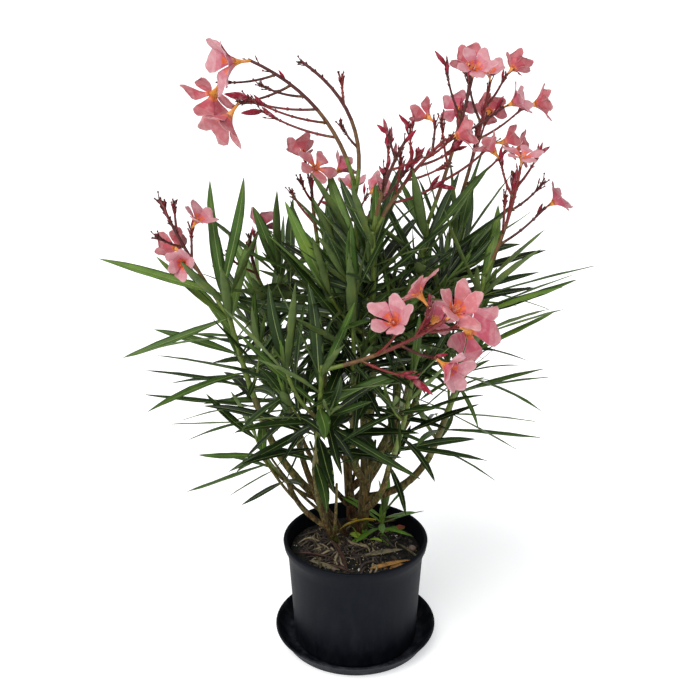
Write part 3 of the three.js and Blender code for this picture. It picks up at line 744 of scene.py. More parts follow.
def long_leaves_of(mass):
    """Long leaves lie open to the sky and are then turned by their roll."""
    grown = []
    for at, heading, lean, length, roll in LONG_LEAVES.get(mass.name, []):
        straight = Arc(mass.line.point(at), heading, lean, length, 0)
        grown.append({
            "root": straight.foot + straight.chord * WHORL["seat"] * mass.radii[1],
            "twig": mass.line.tangent(at), "dir": straight.chord,
            "normal": turned(-straight.out, straight.chord, roll), "rank": at, "shoot": mass.shoots[0],
            "length": length, "width": LONG["width"], "sag": LONG["sag"], "share": LONG["share"],
        })
    return grown


def stalks_of(axis, spec, random):
    """Stalks of one panicle, the axis last: for each, whether it is the axis, and a function that
    grows it at a shifted turn."""
    ends, count = spec["ends"], len(spec["ends"])
    stalks = []
    for k, kind in enumerate(ends):
        draw = [random() for _ in range(6)]
        rank = k / (count - 1) if count > 1 else 1
        is_axis = k == count - 1
        t = 1 if is_axis else lerp(PANICLE["from"], PANICLE["to"], rank)
        turn = spec["fan"] + spec["spread"] * ((k * GOLDEN + 0.25) % 1 - 0.5)
        turn += PANICLE["turn_spread"] * (draw[0] - 0.5)
        angle = spec["branch"] + PANICLE["angle_spread"] * (draw[1] - 0.5)
        length = spec["stalk"] * lerp(*PANICLE["length"], rank) * (0.8 + 0.4 * draw[2])
        end = {"kind": kind, "turn": 360 * draw[3], "size": spec["bloom"] * (0.92 + 0.2 * draw[4])}
        nod = STALK["nod"] * (0.5 + draw[5])
        stalks.append((is_axis, stalk_at(axis, t, turn, angle, length, end, nod, is_axis)))
    return stalks


def stalk_at(axis, t, turn, angle, length, end, nod, is_axis):
    """A function that gives the stalk's line and its head, at a shifted turn."""

    def grow(shift):
        _, radial, _ = branching(axis, t, turn + shift, angle)
        line = axis if is_axis else offshoot(axis, t, turn + shift, angle, length)
        tip = line.tangent(1)
        hinge = tip.cross(radial).normalized()
        return line, {**end, "base": line.point(SHOOT_TIP), "axis": turned(tip, hinge, nod)}

    return grow


# Inner twigs: their sizes and how many each mass has.
INNER = {
    "from": (0.15, 0.6), "length": (40, 70), "angle": (24, 50), "whorls": 3, "scale": 0.66,
    "radii": (0.7, 0.45), "turn": (0, 60), "phase": (0, 120),
    "count": {
        "center": 5, "mid": 4, "tall": 4, "top_right": 5, "far_right": 5, "back_center": 4,
        "back_right": 4, "front_left": 3, "back_left": 3, "right": 2, "left": 1, "front_right": 2,
        "low_back": 3, "left_back": 1,
    },
}

# Finer parts draw from numbers of their own, so that the source's draws stay as they are.
FINE_SEED = 100


class Mass:
    """One mass of foliage as it grows: its shoots, twigs, stalks and leaves. `own` holds what its
    own leaves keep clear of, and `waiting` the stalks that grow after the axes of all masses."""

    def __init__(self, name, shoot, foot, seat, radii):
        heading, lean, length, bow, self.whorls, self.phase, seed, *rest = shoot
        self.sides, self.panicles, self.scale = rest
        self.name, self.seat, self.radii = name, seat, radii
        self.line = Arc(foot, heading, lean, length, bow)
        self.random = Seeded(seed)
        self.fine = Seeded(seed + FINE_SEED)
        self.own, self.shoots, self.stalks, self.leaves = [], [], [], []
        self.waiting = []

    def keep(self, forms):
        """Takes the space of the forms, if all of it is clear of the rest of the plant."""
        bodies = [Body(form, self.name) for form in forms]
        if not all(clear(body, placed, self.name) for body in bodies):
            return False
        placed.extend(bodies)
        self.own.extend(Body(form) for form in forms)
        return True

    def add_side_shoot(self, line, radii, whorls):
        """A leafy side shoot, or None where its twig isn't clear."""
        if not self.keep([tube(line, radii, TWIG_SIDES, SIDE_SHOOT["steps"])]):
            return None
        self.shoots.append({
            "line": line, "whorls": whorls, "phase": SIDE_SHOOT["phase"], "from": SIDE_SHOOT["from"],
            "to": SHOOT_TIP, "radii": radii, "tip_lean": WHORL["tip_lean"], "spear": True,
        })
        return self.shoots[-1]

    def grow_twigs(self):
        steps = max(2, round(self.line.length / TWIG_STEP))
        self.keep([tube(self.line, self.radii, TWIG_SIDES, steps, self.seat)])
        to, tip_lean = SHOOT_TIP, WHORL["tip_lean"]
        if self.panicles:
            to, tip_lean = LEAF_TOP.get(self.name, WHORL["bloom_top"]), WHORL["bloom_lean"]
        self.shoots.append({
            "line": self.line, "whorls": self.whorls, "phase": self.phase, "from": WHORL["first"],
            "to": to, "radii": self.radii, "tip_lean": tip_lean, "spear": not self.panicles,
        })
        for at, heading, lean, length in self.sides:
            side = Arc(self.line.point(at), heading, lean, length, length * SIDE_SHOOT["bow"])
            thin = (self.radii[1], self.radii[1] * SIDE_SHOOT["thinner"])
            self.add_side_shoot(side, thin, round(length / WHORL["side_spacing"]))
        for spec in self.panicles:
            axis = Arc(self.line.point(spec["at"]), *spec["arc"])
            stalks = stalks_of(axis, spec, self.random)
            if self.grow_stalk(*stalks.pop()):
                self.waiting.extend(stalks)

    def grow_stalk(self, is_axis, grow):
        """Keeps a stalk and its head at the first clear turn, and says whether there was one."""
        radii = (STALK["radius"], STALK["tip_radius"])
        if is_axis:
            radii = (STALK["radius"] * STALK["axis_thicker"], STALK["radius"])
        for shift in SHIFTS:
            line, end = grow(shift)
            forms = [tube(line, radii, TWIG_SIDES, 5 if is_axis else 2)]
            if end["kind"] != "T":
                forms.append(head_body(end))
            if self.keep(forms):
                self.stalks.append((line, radii, end, is_axis))
                return True
        return False

    def grow_whorls(self):
        for shoot in self.shoots:
            for grown in whorls_of(shoot, self.scale, self.random):
                self.grow_leaf(grown)

    def grow_inner_twigs(self):
        """Short leafy side shoots, finer than the source's, that fill the inside of the mass."""
        fine = self.fine
        count = INNER["count"].get(self.name, 0)
        thin = [self.radii[1] * share for share in INNER["radii"]]
        for k in range(count):
            at = lerp(*INNER["from"], (k + fine()) / count)
            length, turn = fine.between(*INNER["length"]), GOLDEN_TURN * k + fine.between(*INNER["turn"])
            side = offshoot(self.line, at, turn, fine.between(*INNER["angle"]), length)
            shoot = self.add_side_shoot(side, thin, INNER["whorls"])
            if shoot:
                shoot["phase"] = fine.between(*INNER["phase"])
                for grown in whorls_of(shoot, self.scale * INNER["scale"], fine):
                    self.grow_leaf(grown)

    def grow_leaf(self, grown):
        """Keeps a leaf at its own place or near it, or not at all where nothing is free."""
        for turn, raised in TRIES:
            forward = turned(grown["dir"], grown["twig"], turn)
            normal = turned(grown["normal"], grown["twig"], turn)
            hinge = forward.cross(normal)
            leaf = {**grown, "dir": turned(forward, hinge, raised), "normal": turned(normal, hinge, raised)}
            whole, free = Body(blade_body(leaf), self.name), Body(blade_body(leaf, SUNK))
            if clear(whole, placed, self.name) and clear(free, self.own, self.name):
                placed.append(whole)
                self.own.append(free)
                self.leaves.append(leaf)
                return


def trunk_line(name):
    """The centre line of a stem."""
    (x, y), heading, lean, length, bow, _ = TRUNKS[name]
    return Arc(Vector((x, y, SOIL_TOP + GAP)), heading, lean, length, bow)


def bough_line(name):
    """The centre line of a bough, just clear of the tip of its stem where it continues it."""
    parent, at, heading, lean, length, bow, _ = BOUGHS[name]
    stem = trunk_line(parent)
    foot = stem.point(at) + (stem.tangent(1) * GAP if at == 1 else Vector())
    return Arc(foot, heading, lean, length, bow)


masses = []
for name, shoot in MASSES.items():
    bough = bough_line(name)
    seat = bough.tangent(1)
    radii = (BOUGHS[name][-1][1] * TWIG_FOOT, TWIG_TIP)
    masses.append(Mass(name, shoot, bough.point(1) + seat * GAP, seat, radii))
sprout_foot = Vector((*SPROUT["foot"], SOIL_TOP + GAP))
masses.append(Mass("basal_sprout", SPROUT["shoot"], sprout_foot, UP, SPROUT["radii"]))
for mass in masses:
    mass.grow_twigs()
for mass in masses:
    for stalk in mass.waiting:
        mass.grow_stalk(*stalk)
for mass in masses:
    for long_leaf in long_leaves_of(mass):
        mass.grow_leaf(long_leaf)
for mass in masses:
    mass.grow_whorls()
for mass in masses:
    mass.grow_inner_twigs()


# ---------------------------------------------------------------- leaves in detail

BLADE = {
    "sections": 11, "fold": 0.3, "curl": 0.12, "thick": 0.5, "rib": 0.07, "rib_depth": 0.9,
    "petiole": 0.05, "petiole_half": 1.2, "wave": 0.5, "base": 0.8, "tip": 0.84, "share": 0.88,
    "sprout_share": 1.25, "arch": 0.06, "sickle": 0.045, "twist": 18, "middle": 0.52,
    "even": 0.35, "stem_thick": 1.5, "beat": (2, 4),
}


def blade_half(s):
    """Share of the full half-width along the leaf: a long strap that tapers to both ends."""
    base, tip = BLADE["base"], BLADE["tip"]
    widest = base / (base + tip)
    return (s / widest) ** base * ((1 - s) / (1 - widest)) ** tip


def blade_form(leaf, fine, fold=BLADE["fold"], twist=BLADE["twist"]):
    """A thin closed blade: two halves folded up from a pale midrib, on a short petiole."""
    at = blade_line(leaf)
    count, middle = BLADE["sections"], BLADE["middle"]
    sickle = fine.between(-1, 1) * BLADE["sickle"] * leaf["length"]
    turn = fine.between(-twist, twist)
    beat, lag = fine.between(*BLADE["beat"]), fine.between(0, 6)
    arch = fine.between(-1, 1) * BLADE["arch"] * leaf["length"]
    width = leaf["width"] * leaf.get("share", BLADE["share"])
    wave = BLADE["wave"] * width / LEAF["width"]
    side0 = leaf["dir"].cross(leaf["normal"]).normalized()
    rings = []
    for k in range(count + 1):
        s = (1 - math.cos(math.pi * k / count)) / 2
        s = lerp(s, k / count, BLADE["even"])
        forward = (leaf["dir"] - UP * 2 * leaf["sag"] * s).normalized()
        side = turned(side0, forward, turn * s)
        side = (side - forward * side.dot(forward)).normalized()
        normal = side.cross(forward)
        half = max(blade_half(min(s, 0.999)) * width / 2, 0.12)
        stem = smooth(1 - s / BLADE["petiole"])
        half = lerp(half, BLADE["petiole_half"] * width / LEAF["width"], stem)
        rib = min(BLADE["rib"] * width / 2 * (1.15 - s), half * 0.5)
        thick = lerp(BLADE["thick"], BLADE["stem_thick"] * width / LEAF["width"], stem) * lerp(1, 0.4, s)
        deep = BLADE["rib_depth"] * lerp(1, 0.25, s) * width / LEAF["width"]
        centre = at(s) + side * sickle * math.sin(math.pi * s) * s + normal * arch * s * s

        def spot(across, drop, u):
            rise = fold * abs(u) * half - BLADE["curl"] * u**4 * half
            rise += wave * u * u * math.sin(beat * math.pi * 2 * s + lag + (2 if u > 0 else 0))
            return centre + side * across + normal * (rise * (1 - stem) - drop)

        rings.append([
            spot(-half, 0, -1), spot(-half * middle, 0, -middle), spot(-rib, 0.1, 0),
            spot(rib, 0.1, 0), spot(half * middle, 0, middle), spot(half, 0, 1),
            spot(half * middle, thick, middle), spot(0, thick + deep, 0),
            spot(-half * middle, thick, -middle),
        ])
    return loft(rings)


def blade_finish(tone, rib="leaf_rib", under="leaf_under"):
    """Finishes of the faces of one blade, in the order in which loft() makes them."""
    round_it = [tone, tone, rib, tone, tone, under, under, under, under]
    return round_it * BLADE["sections"] + [under, under]


SPEAR = {
    "turn": (0, 40), "lean": (5, 13), "tilt": 8, "length": (38, 66), "width": (6, 9), "sag": -0.02,
    "fold": 0.8,
}


def spear_leaves(shoot, scale, fine):
    """Three young leaves that stand closed together at the tip of a shoot."""
    line = shoot["line"]
    grown = []
    for i in range(3):
        turn, lean = 120 * i + fine.between(*SPEAR["turn"]), fine.between(*SPEAR["lean"])
        tangent, radial, forward = branching(line, 1, turn, lean)
        grown.append({
            "root": line.point(0.99), "dir": forward, "normal": swung(-radial, tangent, SPEAR["tilt"]),
            "length": scale * fine.between(*SPEAR["length"]),
            "width": scale * fine.between(*SPEAR["width"]), "sag": SPEAR["sag"],
        })
    return grown


# How much lighter the leaves of the outer masses are painted: painted light on the masses that stand out in
# the light.
SUNLIT = {
    "left": 1, "right": 0.9, "left_back": 0.4, "low_left": 0.4, "far_right": 0.3, "center": 0.2,
    "front_left": 0.1,
}

# Masses whose lower leaves are narrower than the rest, as a share of the usual width.
SLENDER = {
    "right": 0.55, "far_right": 0.6, "back_right": 0.6, "low_left": 0.6, "left_back": 0.65,
    "low_back": 0.7, "left": 0.75, "front_right": 0.7,
}

# Steps of green, counted from the darkest: where the lowest leaves start, how much lighter the
# youngest are, and how far the whorls differ.
GREEN = {"level": 0.3, "young": 1.5, "spread": 1.9}


def share_of(leaf, name):
    """How much of its full width a leaf has."""
    if name == "basal_sprout":
        return BLADE["sprout_share"]
    return leaf.get("share", BLADE["share"] * lerp(SLENDER.get(name, 1), 1, leaf["rank"]))


def tone_of(leaf, whorl_draw, sunlit):
    """Young whorls are lighter, each whorl has its own shade of green, and the masses in SUNLIT take lighter
    tones as painted light.
    """
    level = GREEN["level"] + sunlit + GREEN["young"] * leaf["rank"] ** 1.6
    level += GREEN["spread"] * (whorl_draw - 0.5)
    return LEAF_TONES[min(max(round(level), 0), len(LEAF_TONES) - 1)]


BACK = 30  # the y from which on a mass belongs to the back
BLADE_FINISHES = [*LEAF_TONES, "leaf_sprout", "leaf_lime", "leaf_yellow", "leaf_rib", "leaf_under"]
foliage = {name: Piece(name, BLADE_FINISHES) for name in ("leaves_front", "leaves_back")}
for mass in masses:
    piece = foliage["leaves_front" if mass.line.point(0.5).y < BACK else "leaves_back"]
    shades = {}
    for leaf in mass.leaves:
        key = (id(leaf["shoot"]), leaf["rank"])
        if key not in shades:
            shades[key] = mass.fine()
        tone = tone_of(leaf, shades[key], SUNLIT.get(mass.name, 0))
        if mass.name == "basal_sprout":
            tone = "leaf_sprout" if shades[key] < BRIGHT_SPROUTS else "leaf_lime"
        leaf["share"] = share_of(leaf, mass.name)
        piece.add(blade_form(leaf, mass.fine), blade_finish(tone))
    for shoot in mass.shoots:
        if shoot["spear"]:
            tone = "leaf_lime" if mass.name == "basal_sprout" else "leaf_fresh"
            for leaf in spear_leaves(shoot, mass.scale, mass.fine):
                piece.add(blade_form(leaf, mass.fine, fold=SPEAR["fold"]), blade_finish(tone))


# ---------------------------------------------------------------- twigs and flower stalks

BRACT = {
    "pairs": 5, "length": 7, "half": 1.3, "lean": 24, "seat": 1.1, "apart": 150,
    "size": (0.6, 0.9), "crowd_size": (0.55, 0.95),
}
SEPAL = {"length": 5, "half": 0.9, "lean": 14, "seat": 0.9}
# How much thicker stalks are than the source's, their sides and their steps.
AXIS_ROUND, STALK_ROUND = (1.32, 8, 12), (1.3, 6, 8)
TWIG_ROUND = {"sides": 9, "step": 5, "swell": 0.16, "node": 26}
DARK_STALKS = 0.35

# Short stalks that crowd at the end of each stalk, by the kind of its end: how many, how many of
# them carry a bud of nearly full size, and what share of the rest carries a small one.
CROWD = {
    "F": {"count": 5, "full": 1, "crimson": 0.35},
    "B": {"count": 7, "full": 2, "crimson": 0.4},
    "T": {"count": 9, "full": 0, "crimson": 0.1},
}
PEDICEL = {
    "from": 0.72, "length": (5, 13), "radii": (0.9, 0.7), "angle": (14, 34), "small": (0.2, 0.36),
    "full": (0.55, 0.95), "full_angle": (10, 26), "turn": (0, 60), "calyx": 0.62,
    "sides": 5, "steps": 2,
}


def spike(base, forward, side, length, half):
    """A small pointed scale."""
    up = forward.cross(side)
    foot = [base - side * half, base - up * half * 0.7, base + side * half, base + up * half * 0.5]
    middle = [p + forward * length * 0.45 for p in foot]
    return loft([foot, middle, [base + forward * length]])


def calyx(piece, end, finish, size=1):
    """Five pointed sepals round the foot of a flower or bud."""
    u, v = flower_axes(end)
    for i in range(5):
        reach, across = swung(u, v, 72 * i), swung(v, -u, 72 * i)
        forward = swung(end["axis"], reach, SEPAL["lean"])
        base = end["base"] + reach * SEPAL["seat"] * size
        piece.add(spike(base, forward, across, SEPAL["length"] * size, SEPAL["half"] * size), finish)


def bracts(piece, line, t, fine, finish, size):
    """A pair of small bracts on a stalk."""
    first = fine.between(0, 360)
    for turn in (first, first + BRACT["apart"]):
        tangent, radial, forward = branching(line, t, turn, BRACT["lean"])
        base = line.point(t) + radial * BRACT["seat"] * size
        across = forward.cross(radial).normalized()
        piece.add(spike(base, forward, across, BRACT["length"] * size, BRACT["half"] * size), finish)


def node_swell(whorls, low, high):
    """A function for tube() that makes a twig slightly thicker where a whorl of leaves sits."""

    def swell(t):
        near = min(abs(t - lerp(low, high, k / max(whorls - 1, 1))) for k in range(whorls))
        return 1 + TWIG_ROUND["swell"] * math.exp(-((near * TWIG_ROUND["node"]) ** 2))

    return swell


twigs = Piece("twigs", ["stem_green", "stem_olive"])
STALK_FINISHES = ["stem_green", "stalk_brown", "stalk_red", "stalk_dark", "stalk_dry"]
stalks = Piece("flower_stalks", STALK_FINISHES)
heads = []
for mass in masses:
    fine = mass.fine
    for shoot in mass.shoots:
        line, sides = shoot["line"], TWIG_ROUND["sides"]
        steps = max(6, round(line.length / TWIG_ROUND["step"]))
        seat = mass.seat if line is mass.line else None
        swell = node_swell(shoot["whorls"], shoot["from"], shoot["to"])
        form = tube(line, shoot["radii"], sides, steps, seat, swell)
        low = ["stem_olive"] * (sides * (steps // 4))
        twigs.add(form, low + ["stem_green"] * (len(form[1]) - len(low)))
    for line, radii, end, is_axis in mass.stalks:
        thick, sides, steps = AXIS_ROUND if is_axis else STALK_ROUND
        form = tube(line, [r * thick for r in radii], sides, steps)
        tone = "stalk_dark" if fine() < DARK_STALKS else "stalk_red"
        low = ["stem_green"] * (sides * 2) if is_axis else []
        low += ["stalk_brown"] * (sides * (4 if is_axis else 1))
        stalks.add(form, low + [tone] * (len(form[1]) - len(low)))
        for k in range(BRACT["pairs"]):
            at = (k + 0.1) / BRACT["pairs"]
            bracts(stalks, line, at, fine, tone, fine.between(*BRACT["size"]))
        heads.append((end, fine, 1))
        crowd = CROWD[end["kind"]]
        for k in range(crowd["count"]):
            full = k < crowd["full"]
            t = lerp(PEDICEL["from"], 0.99, k / (crowd["count"] - 1))
            angle = fine.between(*PEDICEL["full_angle" if full else "angle"])
            turn = GOLDEN_TURN * k + fine.between(*PEDICEL["turn"])
            short = offshoot(line, t, turn, angle, fine.between(*PEDICEL["length"]))
            stalks.add(tube(short, PEDICEL["radii"], PEDICEL["sides"], PEDICEL["steps"]), tone)
            bracts(stalks, line, t, fine, tone, fine.between(*BRACT["crowd_size"]))
            kind = "B" if full or fine() < crowd["crimson"] else "T"
            size = fine.between(*PEDICEL["full" if full else "small"])
            base, axis = short.point(0.98), short.tangent(1)
            small = {"kind": kind, "turn": 0, "size": size, "base": base, "axis": axis}
            heads.append((small, fine, PEDICEL["calyx"]))


# ---------------------------------------------------------------- flowers and buds in detail

PETAL = {
    "rows": (0, 0.14, 0.34, 0.56, 0.78, 0.95, 1), "columns": (-1, -0.92, -0.5, 0, 0.5, 0.92, 1),
    "length": 25.5, "half": 11.2, "foot_half": 2.7, "thick": 0.35, "open": (34, 72), "widest": 0.72,
    "breadth": (0.84, 1.04), "skew": (1.5, 4.2), "droop": (4, 30), "cup": (0.3, 1.9),
    "ruffle": (0.3, 0.9), "rise": 30, "cool": 0.55,
    "blunt": 0.31, "uneven": 8, "loose": 12,
}

# Tones of a petal from its foot to its tip, above and below, for each tint of flower.
PETAL_TONES = {
    "warm": ["petal_throat", "petal_deep", "petal_mid", "petal_mid", "petal_light", "petal_edge"],
    "cool": ["petal_throat", "cool_deep", "cool_mid", "cool_light", "cool_light", "cool_edge"],
}
UNDER_TONES = {
    "warm": ["petal_throat", "petal_deep", "petal_deep", "petal_mid", "petal_mid", "petal_light"],
    "cool": ["petal_throat", "cool_deep", "cool_deep", "cool_mid", "cool_light", "cool_light"],
}
RIM_TONES = {"warm": ("petal_deep", "petal_edge"), "cool": ("cool_deep", "cool_edge")}


def petal_half(r):
    """Half-width along a petal: a narrow claw, a widening fan and a blunt end."""
    grown = lerp(PETAL["foot_half"], PETAL["half"], smooth(r / PETAL["widest"]))
    if r > PETAL["widest"]:
        grown *= math.sqrt(1 - ((r - PETAL["widest"]) / PETAL["blunt"]) ** 2)
    return grown


def petal_form(end, angle, lean, breadth, tint, fine):
    """A thin closed petal that cups, curls back and twists, and the finish of each of its faces."""
    u, v = flower_axes(end)
    axis, size = end["axis"], end["size"]
    reach, across = swung(u, v, angle), swung(v, -u, angle)
    foot = end["base"] + (axis * (FLOWER["tube"] - 1.5) + reach * FLOWER["throat"] * 0.85) * size
    droop, skew = fine.between(*PETAL["droop"]), fine.between(*PETAL["skew"])
    cup, ruffle, lag = fine.between(*PETAL["cup"]), fine.between(*PETAL["ruffle"]), fine.between(0, 6)
    rows, spine, before = [], foot.copy(), 0
    for r in PETAL["rows"]:
        tilt = lerp(lean - PETAL["rise"], lean + droop, r)
        forward, inward = swung(axis, reach, tilt), swung(-reach, axis, tilt)
        spine = spine + forward * (r - before) * PETAL["length"] * size
        before = r
        half = petal_half(r) * size * breadth
        row = []
        for c in PETAL["columns"]:
            lift = cup * c * c * (1 - 1.4 * r) + 1.5 * c * r + ruffle * r * math.sin(4 * c + lag)
            back = (skew * c * r**3 - 1.6 * c * c * r**4) * size
            place = spine + across * (half * c + 2.2 * r * r * size) + inward * lift * size
            row.append(place + forward * back)
        rows.append(row)
    normal_gap = (axis * 0.8 + reach * -0.4).normalized() * PETAL["thick"] * size
    m, n = len(rows), len(rows[0])
    points = [p for row in rows for p in row] + [p - normal_gap for row in rows for p in row]
    under = m * n
    faces, finish = [], []
    for i in range(m - 1):
        for j in range(n - 1):
            a, b = i * n + j, i * n + j + 1
            faces.append((a, b, b + n, a + n))
            rim = {0: RIM_TONES[tint][0], n - 2: RIM_TONES[tint][1]}.get(j) if i > 1 else None
            flame = "petal_throat" if i == 1 and j in (2, 3) else None
            finish.append(rim or flame or PETAL_TONES[tint][i])
            faces.append((under + a + n, under + b + n, under + b, under + a))
            finish.append(rim or UNDER_TONES[tint][i])
    border = [*range(n)] + [i * n + n - 1 for i in range(1, m)]
    border += [(m - 1) * n + j for j in range(n - 2, -1, -1)] + [i * n for i in range(m - 2, 0, -1)]
    for p, q in zip(border, border[1:] + border[:1]):
        faces.append((q, p, under + p, under + q))
        finish.append(RIM_TONES[tint][1])
    return (points, faces), finish


TUBE_SIDES = 10


def flower_tube(end):
    """A slender tube that widens into the throat, open towards the petals."""
    u, v = flower_axes(end)
    deep = FLOWER["tube"]
    outer = [(1.0, -1), (1.35, 2), (1.5, 8), (2.6, 12), (FLOWER["throat"], deep)]
    inner = [(FLOWER["throat"] - 0.5, deep - 0.2), (2.1, 12), (0.9, 9)]
    rings = []
    for radius, height in outer + inner:
        centre = end["base"] + end["axis"] * height * end["size"]
        rings.append(circle(centre, u, v, radius * end["size"], TUBE_SIDES))
    return loft(rings)


CORONA = {
    "scales": 15, "lean": (0.25, 0.6), "seat": 3.4, "long": 6.5, "short": 4.6, "half": 0.75,
    "tuft": 9, "tuft_half": 1.5,
}


def corona(piece, end, fine):
    """Fringed scales that stand in the throat, and the tuft in the middle."""
    u, v = flower_axes(end)
    foot = end["base"] + end["axis"] * (FLOWER["tube"] - 2) * end["size"]
    for i in range(CORONA["scales"]):
        turn = end["turn"] + 24 * i + 4 * ((i % 3) - 1)
        reach, across = swung(u, v, turn), swung(v, -u, turn)
        forward = (end["axis"] + reach * fine.between(*CORONA["lean"])).normalized()
        base = foot + reach * CORONA["seat"] * end["size"]
        length = CORONA["long" if i % 3 == 1 else "short"] * end["size"]
        tone = "tube_orange" if i % 2 else "petal_throat"
        piece.add(spike(base, forward, across, length, CORONA["half"] * end["size"]), tone)
    centre = foot - end["axis"] * 3 * end["size"]
    length, half = CORONA["tuft"] * end["size"], CORONA["tuft_half"] * end["size"]
    piece.add(spike(centre, end["axis"], u, length, half), "petal_edge")


BUD_ROUND = {"slim": 0.86, "sides": 10, "wind": 2.4, "ridge": (0.92, 1.08)}
# Shares of the bare tips that are dark, and that hold a shrivelled floret.
BARE = {"dark": 0.6, "shrivelled": 0.16}


def bud_form(end):
    """A pointed bud with its petals wound round each other."""
    u, v = flower_axes(end)
    length, widest = BUD["length"] * end["size"], BUD["radius"] * end["size"] * BUD_ROUND["slim"]
    rings = [[end["base"]]]
    for s in (0.06, 0.2, 0.36, 0.52, 0.68, 0.82, 0.93):
        radius = widest * max(math.sin(math.pi * s**0.8), 0.12) ** 0.85
        centre, points = end["base"] + end["axis"] * length * s, []
        for i, a in enumerate(angles(BUD_ROUND["sides"])):
            r = radius * BUD_ROUND["ridge"][i % 2]
            points.append(centre + swung(u, v, math.degrees(a + BUD_ROUND["wind"] * s)) * r)
        rings.append(points)
    rings.append([end["base"] + end["axis"] * length])
    form = loft(rings)
    return form, ["bud_crimson" if k % 5 else "bud_pink" for k in range(len(form[1]))]


DRY = {"length": 12, "tip": 13, "radius": 1.7, "sides": 6}


def dry_form(end, fine):
    """A shrivelled floret."""
    u, v = flower_axes(end)
    size = end["size"]
    rings = [[end["base"]]]
    for s in (0.2, 0.45, 0.7, 0.9):
        centre = end["base"] + end["axis"] * DRY["length"] * size * s + u * fine.between(-1, 1) * size
        points = []
        for a in angles(DRY["sides"]):
            r = DRY["radius"] * size * fine.between(0.5, 1.5) * math.sin(math.pi * (0.2 + 0.7 * s))
            points.append(centre + u * r * math.cos(a) + v * r * math.sin(a))
        rings.append(points)
    rings.append([end["base"] + end["axis"] * DRY["tip"] * size])
    return loft(rings)


PETAL_FINISHES = [
    "tube_orange", "petal_throat", "petal_deep", "petal_mid", "petal_light", "petal_edge",
    "cool_deep", "cool_mid", "cool_light", "cool_edge",
]
flowers = Piece("flowers", PETAL_FINISHES)
buds = Piece("buds", ["bud_crimson", "bud_pink"])
for end, fine, size in heads:
    if end["kind"] == "F":
        form = flower_tube(end)
        throat = ["petal_throat"] * (3 * TUBE_SIDES + 2)  # the inside's three bands, and both ends
        flowers.add(form, ["tube_orange"] * (len(form[1]) - len(throat)) + throat)
        lean, breadth = fine.between(*PETAL["open"]), fine.between(*PETAL["breadth"])
        tint = "cool" if fine() < PETAL["cool"] else "warm"
        for i in range(5):
            angle = end["turn"] + 72 * i + fine.between(-PETAL["uneven"], PETAL["uneven"])
            own_lean = lean + fine.between(-PETAL["loose"], PETAL["loose"])
            flowers.add(*petal_form(end, angle, own_lean, breadth, tint, fine))
        corona(flowers, end, fine)
        calyx(stalks, end, "stalk_dark")
    elif end["kind"] == "B":
        buds.add(*bud_form(end))
        calyx(stalks, end, "stalk_dark", size)
    else:
        calyx(stalks, end, "stalk_dark" if fine() < BARE["dark"] else "stalk_red", size)
        if fine() < BARE["shrivelled"]:
            stalks.add(dry_form(end, fine), "stalk_dry")


# ---------------------------------------------------------------- stems and boughs with their bark

BARK = {
    "sides": 18, "step": 3.2, "ridge": 0.075, "fine_ridge": 0.045, "collar": 0.3, "collar_fade": 9,
    "knots": 31, "knot": 0.05, "knot_half": 2.2,
}
bark = Piece("bark", ["bark_skin"])


def bark_radius(place, base):
    """Radius by the angle, with low ridges that run along the limb."""

    def at(a):
        around = Vector((math.cos(a) * 1.4, math.sin(a) * 1.4, place.z * 0.035)) + place * 0.01
        fine_ridge = noise.noise(Vector((math.cos(a) * 3.2, math.sin(a) * 3.2, place.z * 0.09)))
        return base * (1 + BARK["ridge"] * noise.noise(around) + BARK["fine_ridge"] * fine_ridge)

    return at


def limb(line, radii, length, foot_flare=False, collar=0):
    """A tapering limb with a flare on the ground, or a collar where it leaves its stem."""
    rings = []
    steps = max(8, round(length / BARK["step"]))
    for k in range(steps + 1):
        t = k / steps
        height = t * length
        tangent = line.tangent(t)
        base = lerp(radii[0], radii[1], t)
        if foot_flare and height < FLARE["height"]:
            share = 1 - height / FLARE["height"]
            tangent = tangent.lerp(UP, share).normalized()
            base += FLARE["extra"] * share**2
        knot = math.exp(-(((height % BARK["knots"]) - BARK["knots"] // 2) / BARK["knot_half"]) ** 2)
        base *= 1 + collar * math.exp(-height / BARK["collar_fade"]) + BARK["knot"] * knot
        around = bark_radius(line.point(t), base)
        rings.append(ring(line.point(t), tangent, line.side, around, BARK["sides"]))
    return loft(rings)


for name, (_, _, _, length, _, radii) in TRUNKS.items():
    bark.add(limb(trunk_line(name), radii, length, foot_flare=True), "bark_skin")
for name, (_, at, _, _, length, _, radii) in BOUGHS.items():
    collar = 0 if at == 1 else BARK["collar"]
    bark.add(limb(bough_line(name), radii, length, collar=collar), "bark_skin")

# Thin bare stems that rise from the trunks into the crown, too fine for the source.
SLIM = {
    "each": 3, "from": (0.2, 0.9), "length": (110, 165), "angle": (12, 30), "radii": (2.7, 1.7),
    "turn": (0, 90), "sides": 8, "steps": 12,
}
slim_random = Seeded(58)
for name in TRUNKS:
    for k in range(SLIM["each"]):
        at = lerp(*SLIM["from"], (k + slim_random()) / SLIM["each"])
        turn = GOLDEN_TURN * k + slim_random.between(*SLIM["turn"])
        angle = slim_random.between(*SLIM["angle"])
        line = offshoot(trunk_line(name), at, turn, angle, slim_random.between(*SLIM["length"]))
        bark.add(tube(line, SLIM["radii"], SLIM["sides"], SLIM["steps"]), "bark_skin")


# ---------------------------------------------------------------- pot and saucer

LATHE_SIDES = 128


def lathe(profile):
    """A closed turned form from (radius, height) points, from the axis back to the axis."""
    rings = []
    for r, z in profile:
        around = round_axis(r, LATHE_SIDES) if r else [(0, 0)]
        rings.append([Vector((x, y, z)) for x, y in around])
    return loft(rings)


def bend(centre, radius, start, stop, steps=6):
    """Profile points round an arc, in degrees: 0 points outwards and 90 up."""
    made = []
    for k in range(steps + 1):
        a = math.radians(lerp(start, stop, k / steps))
        made.append((centre[0] + radius * math.cos(a), centre[1] + radius * math.sin(a)))
    return made


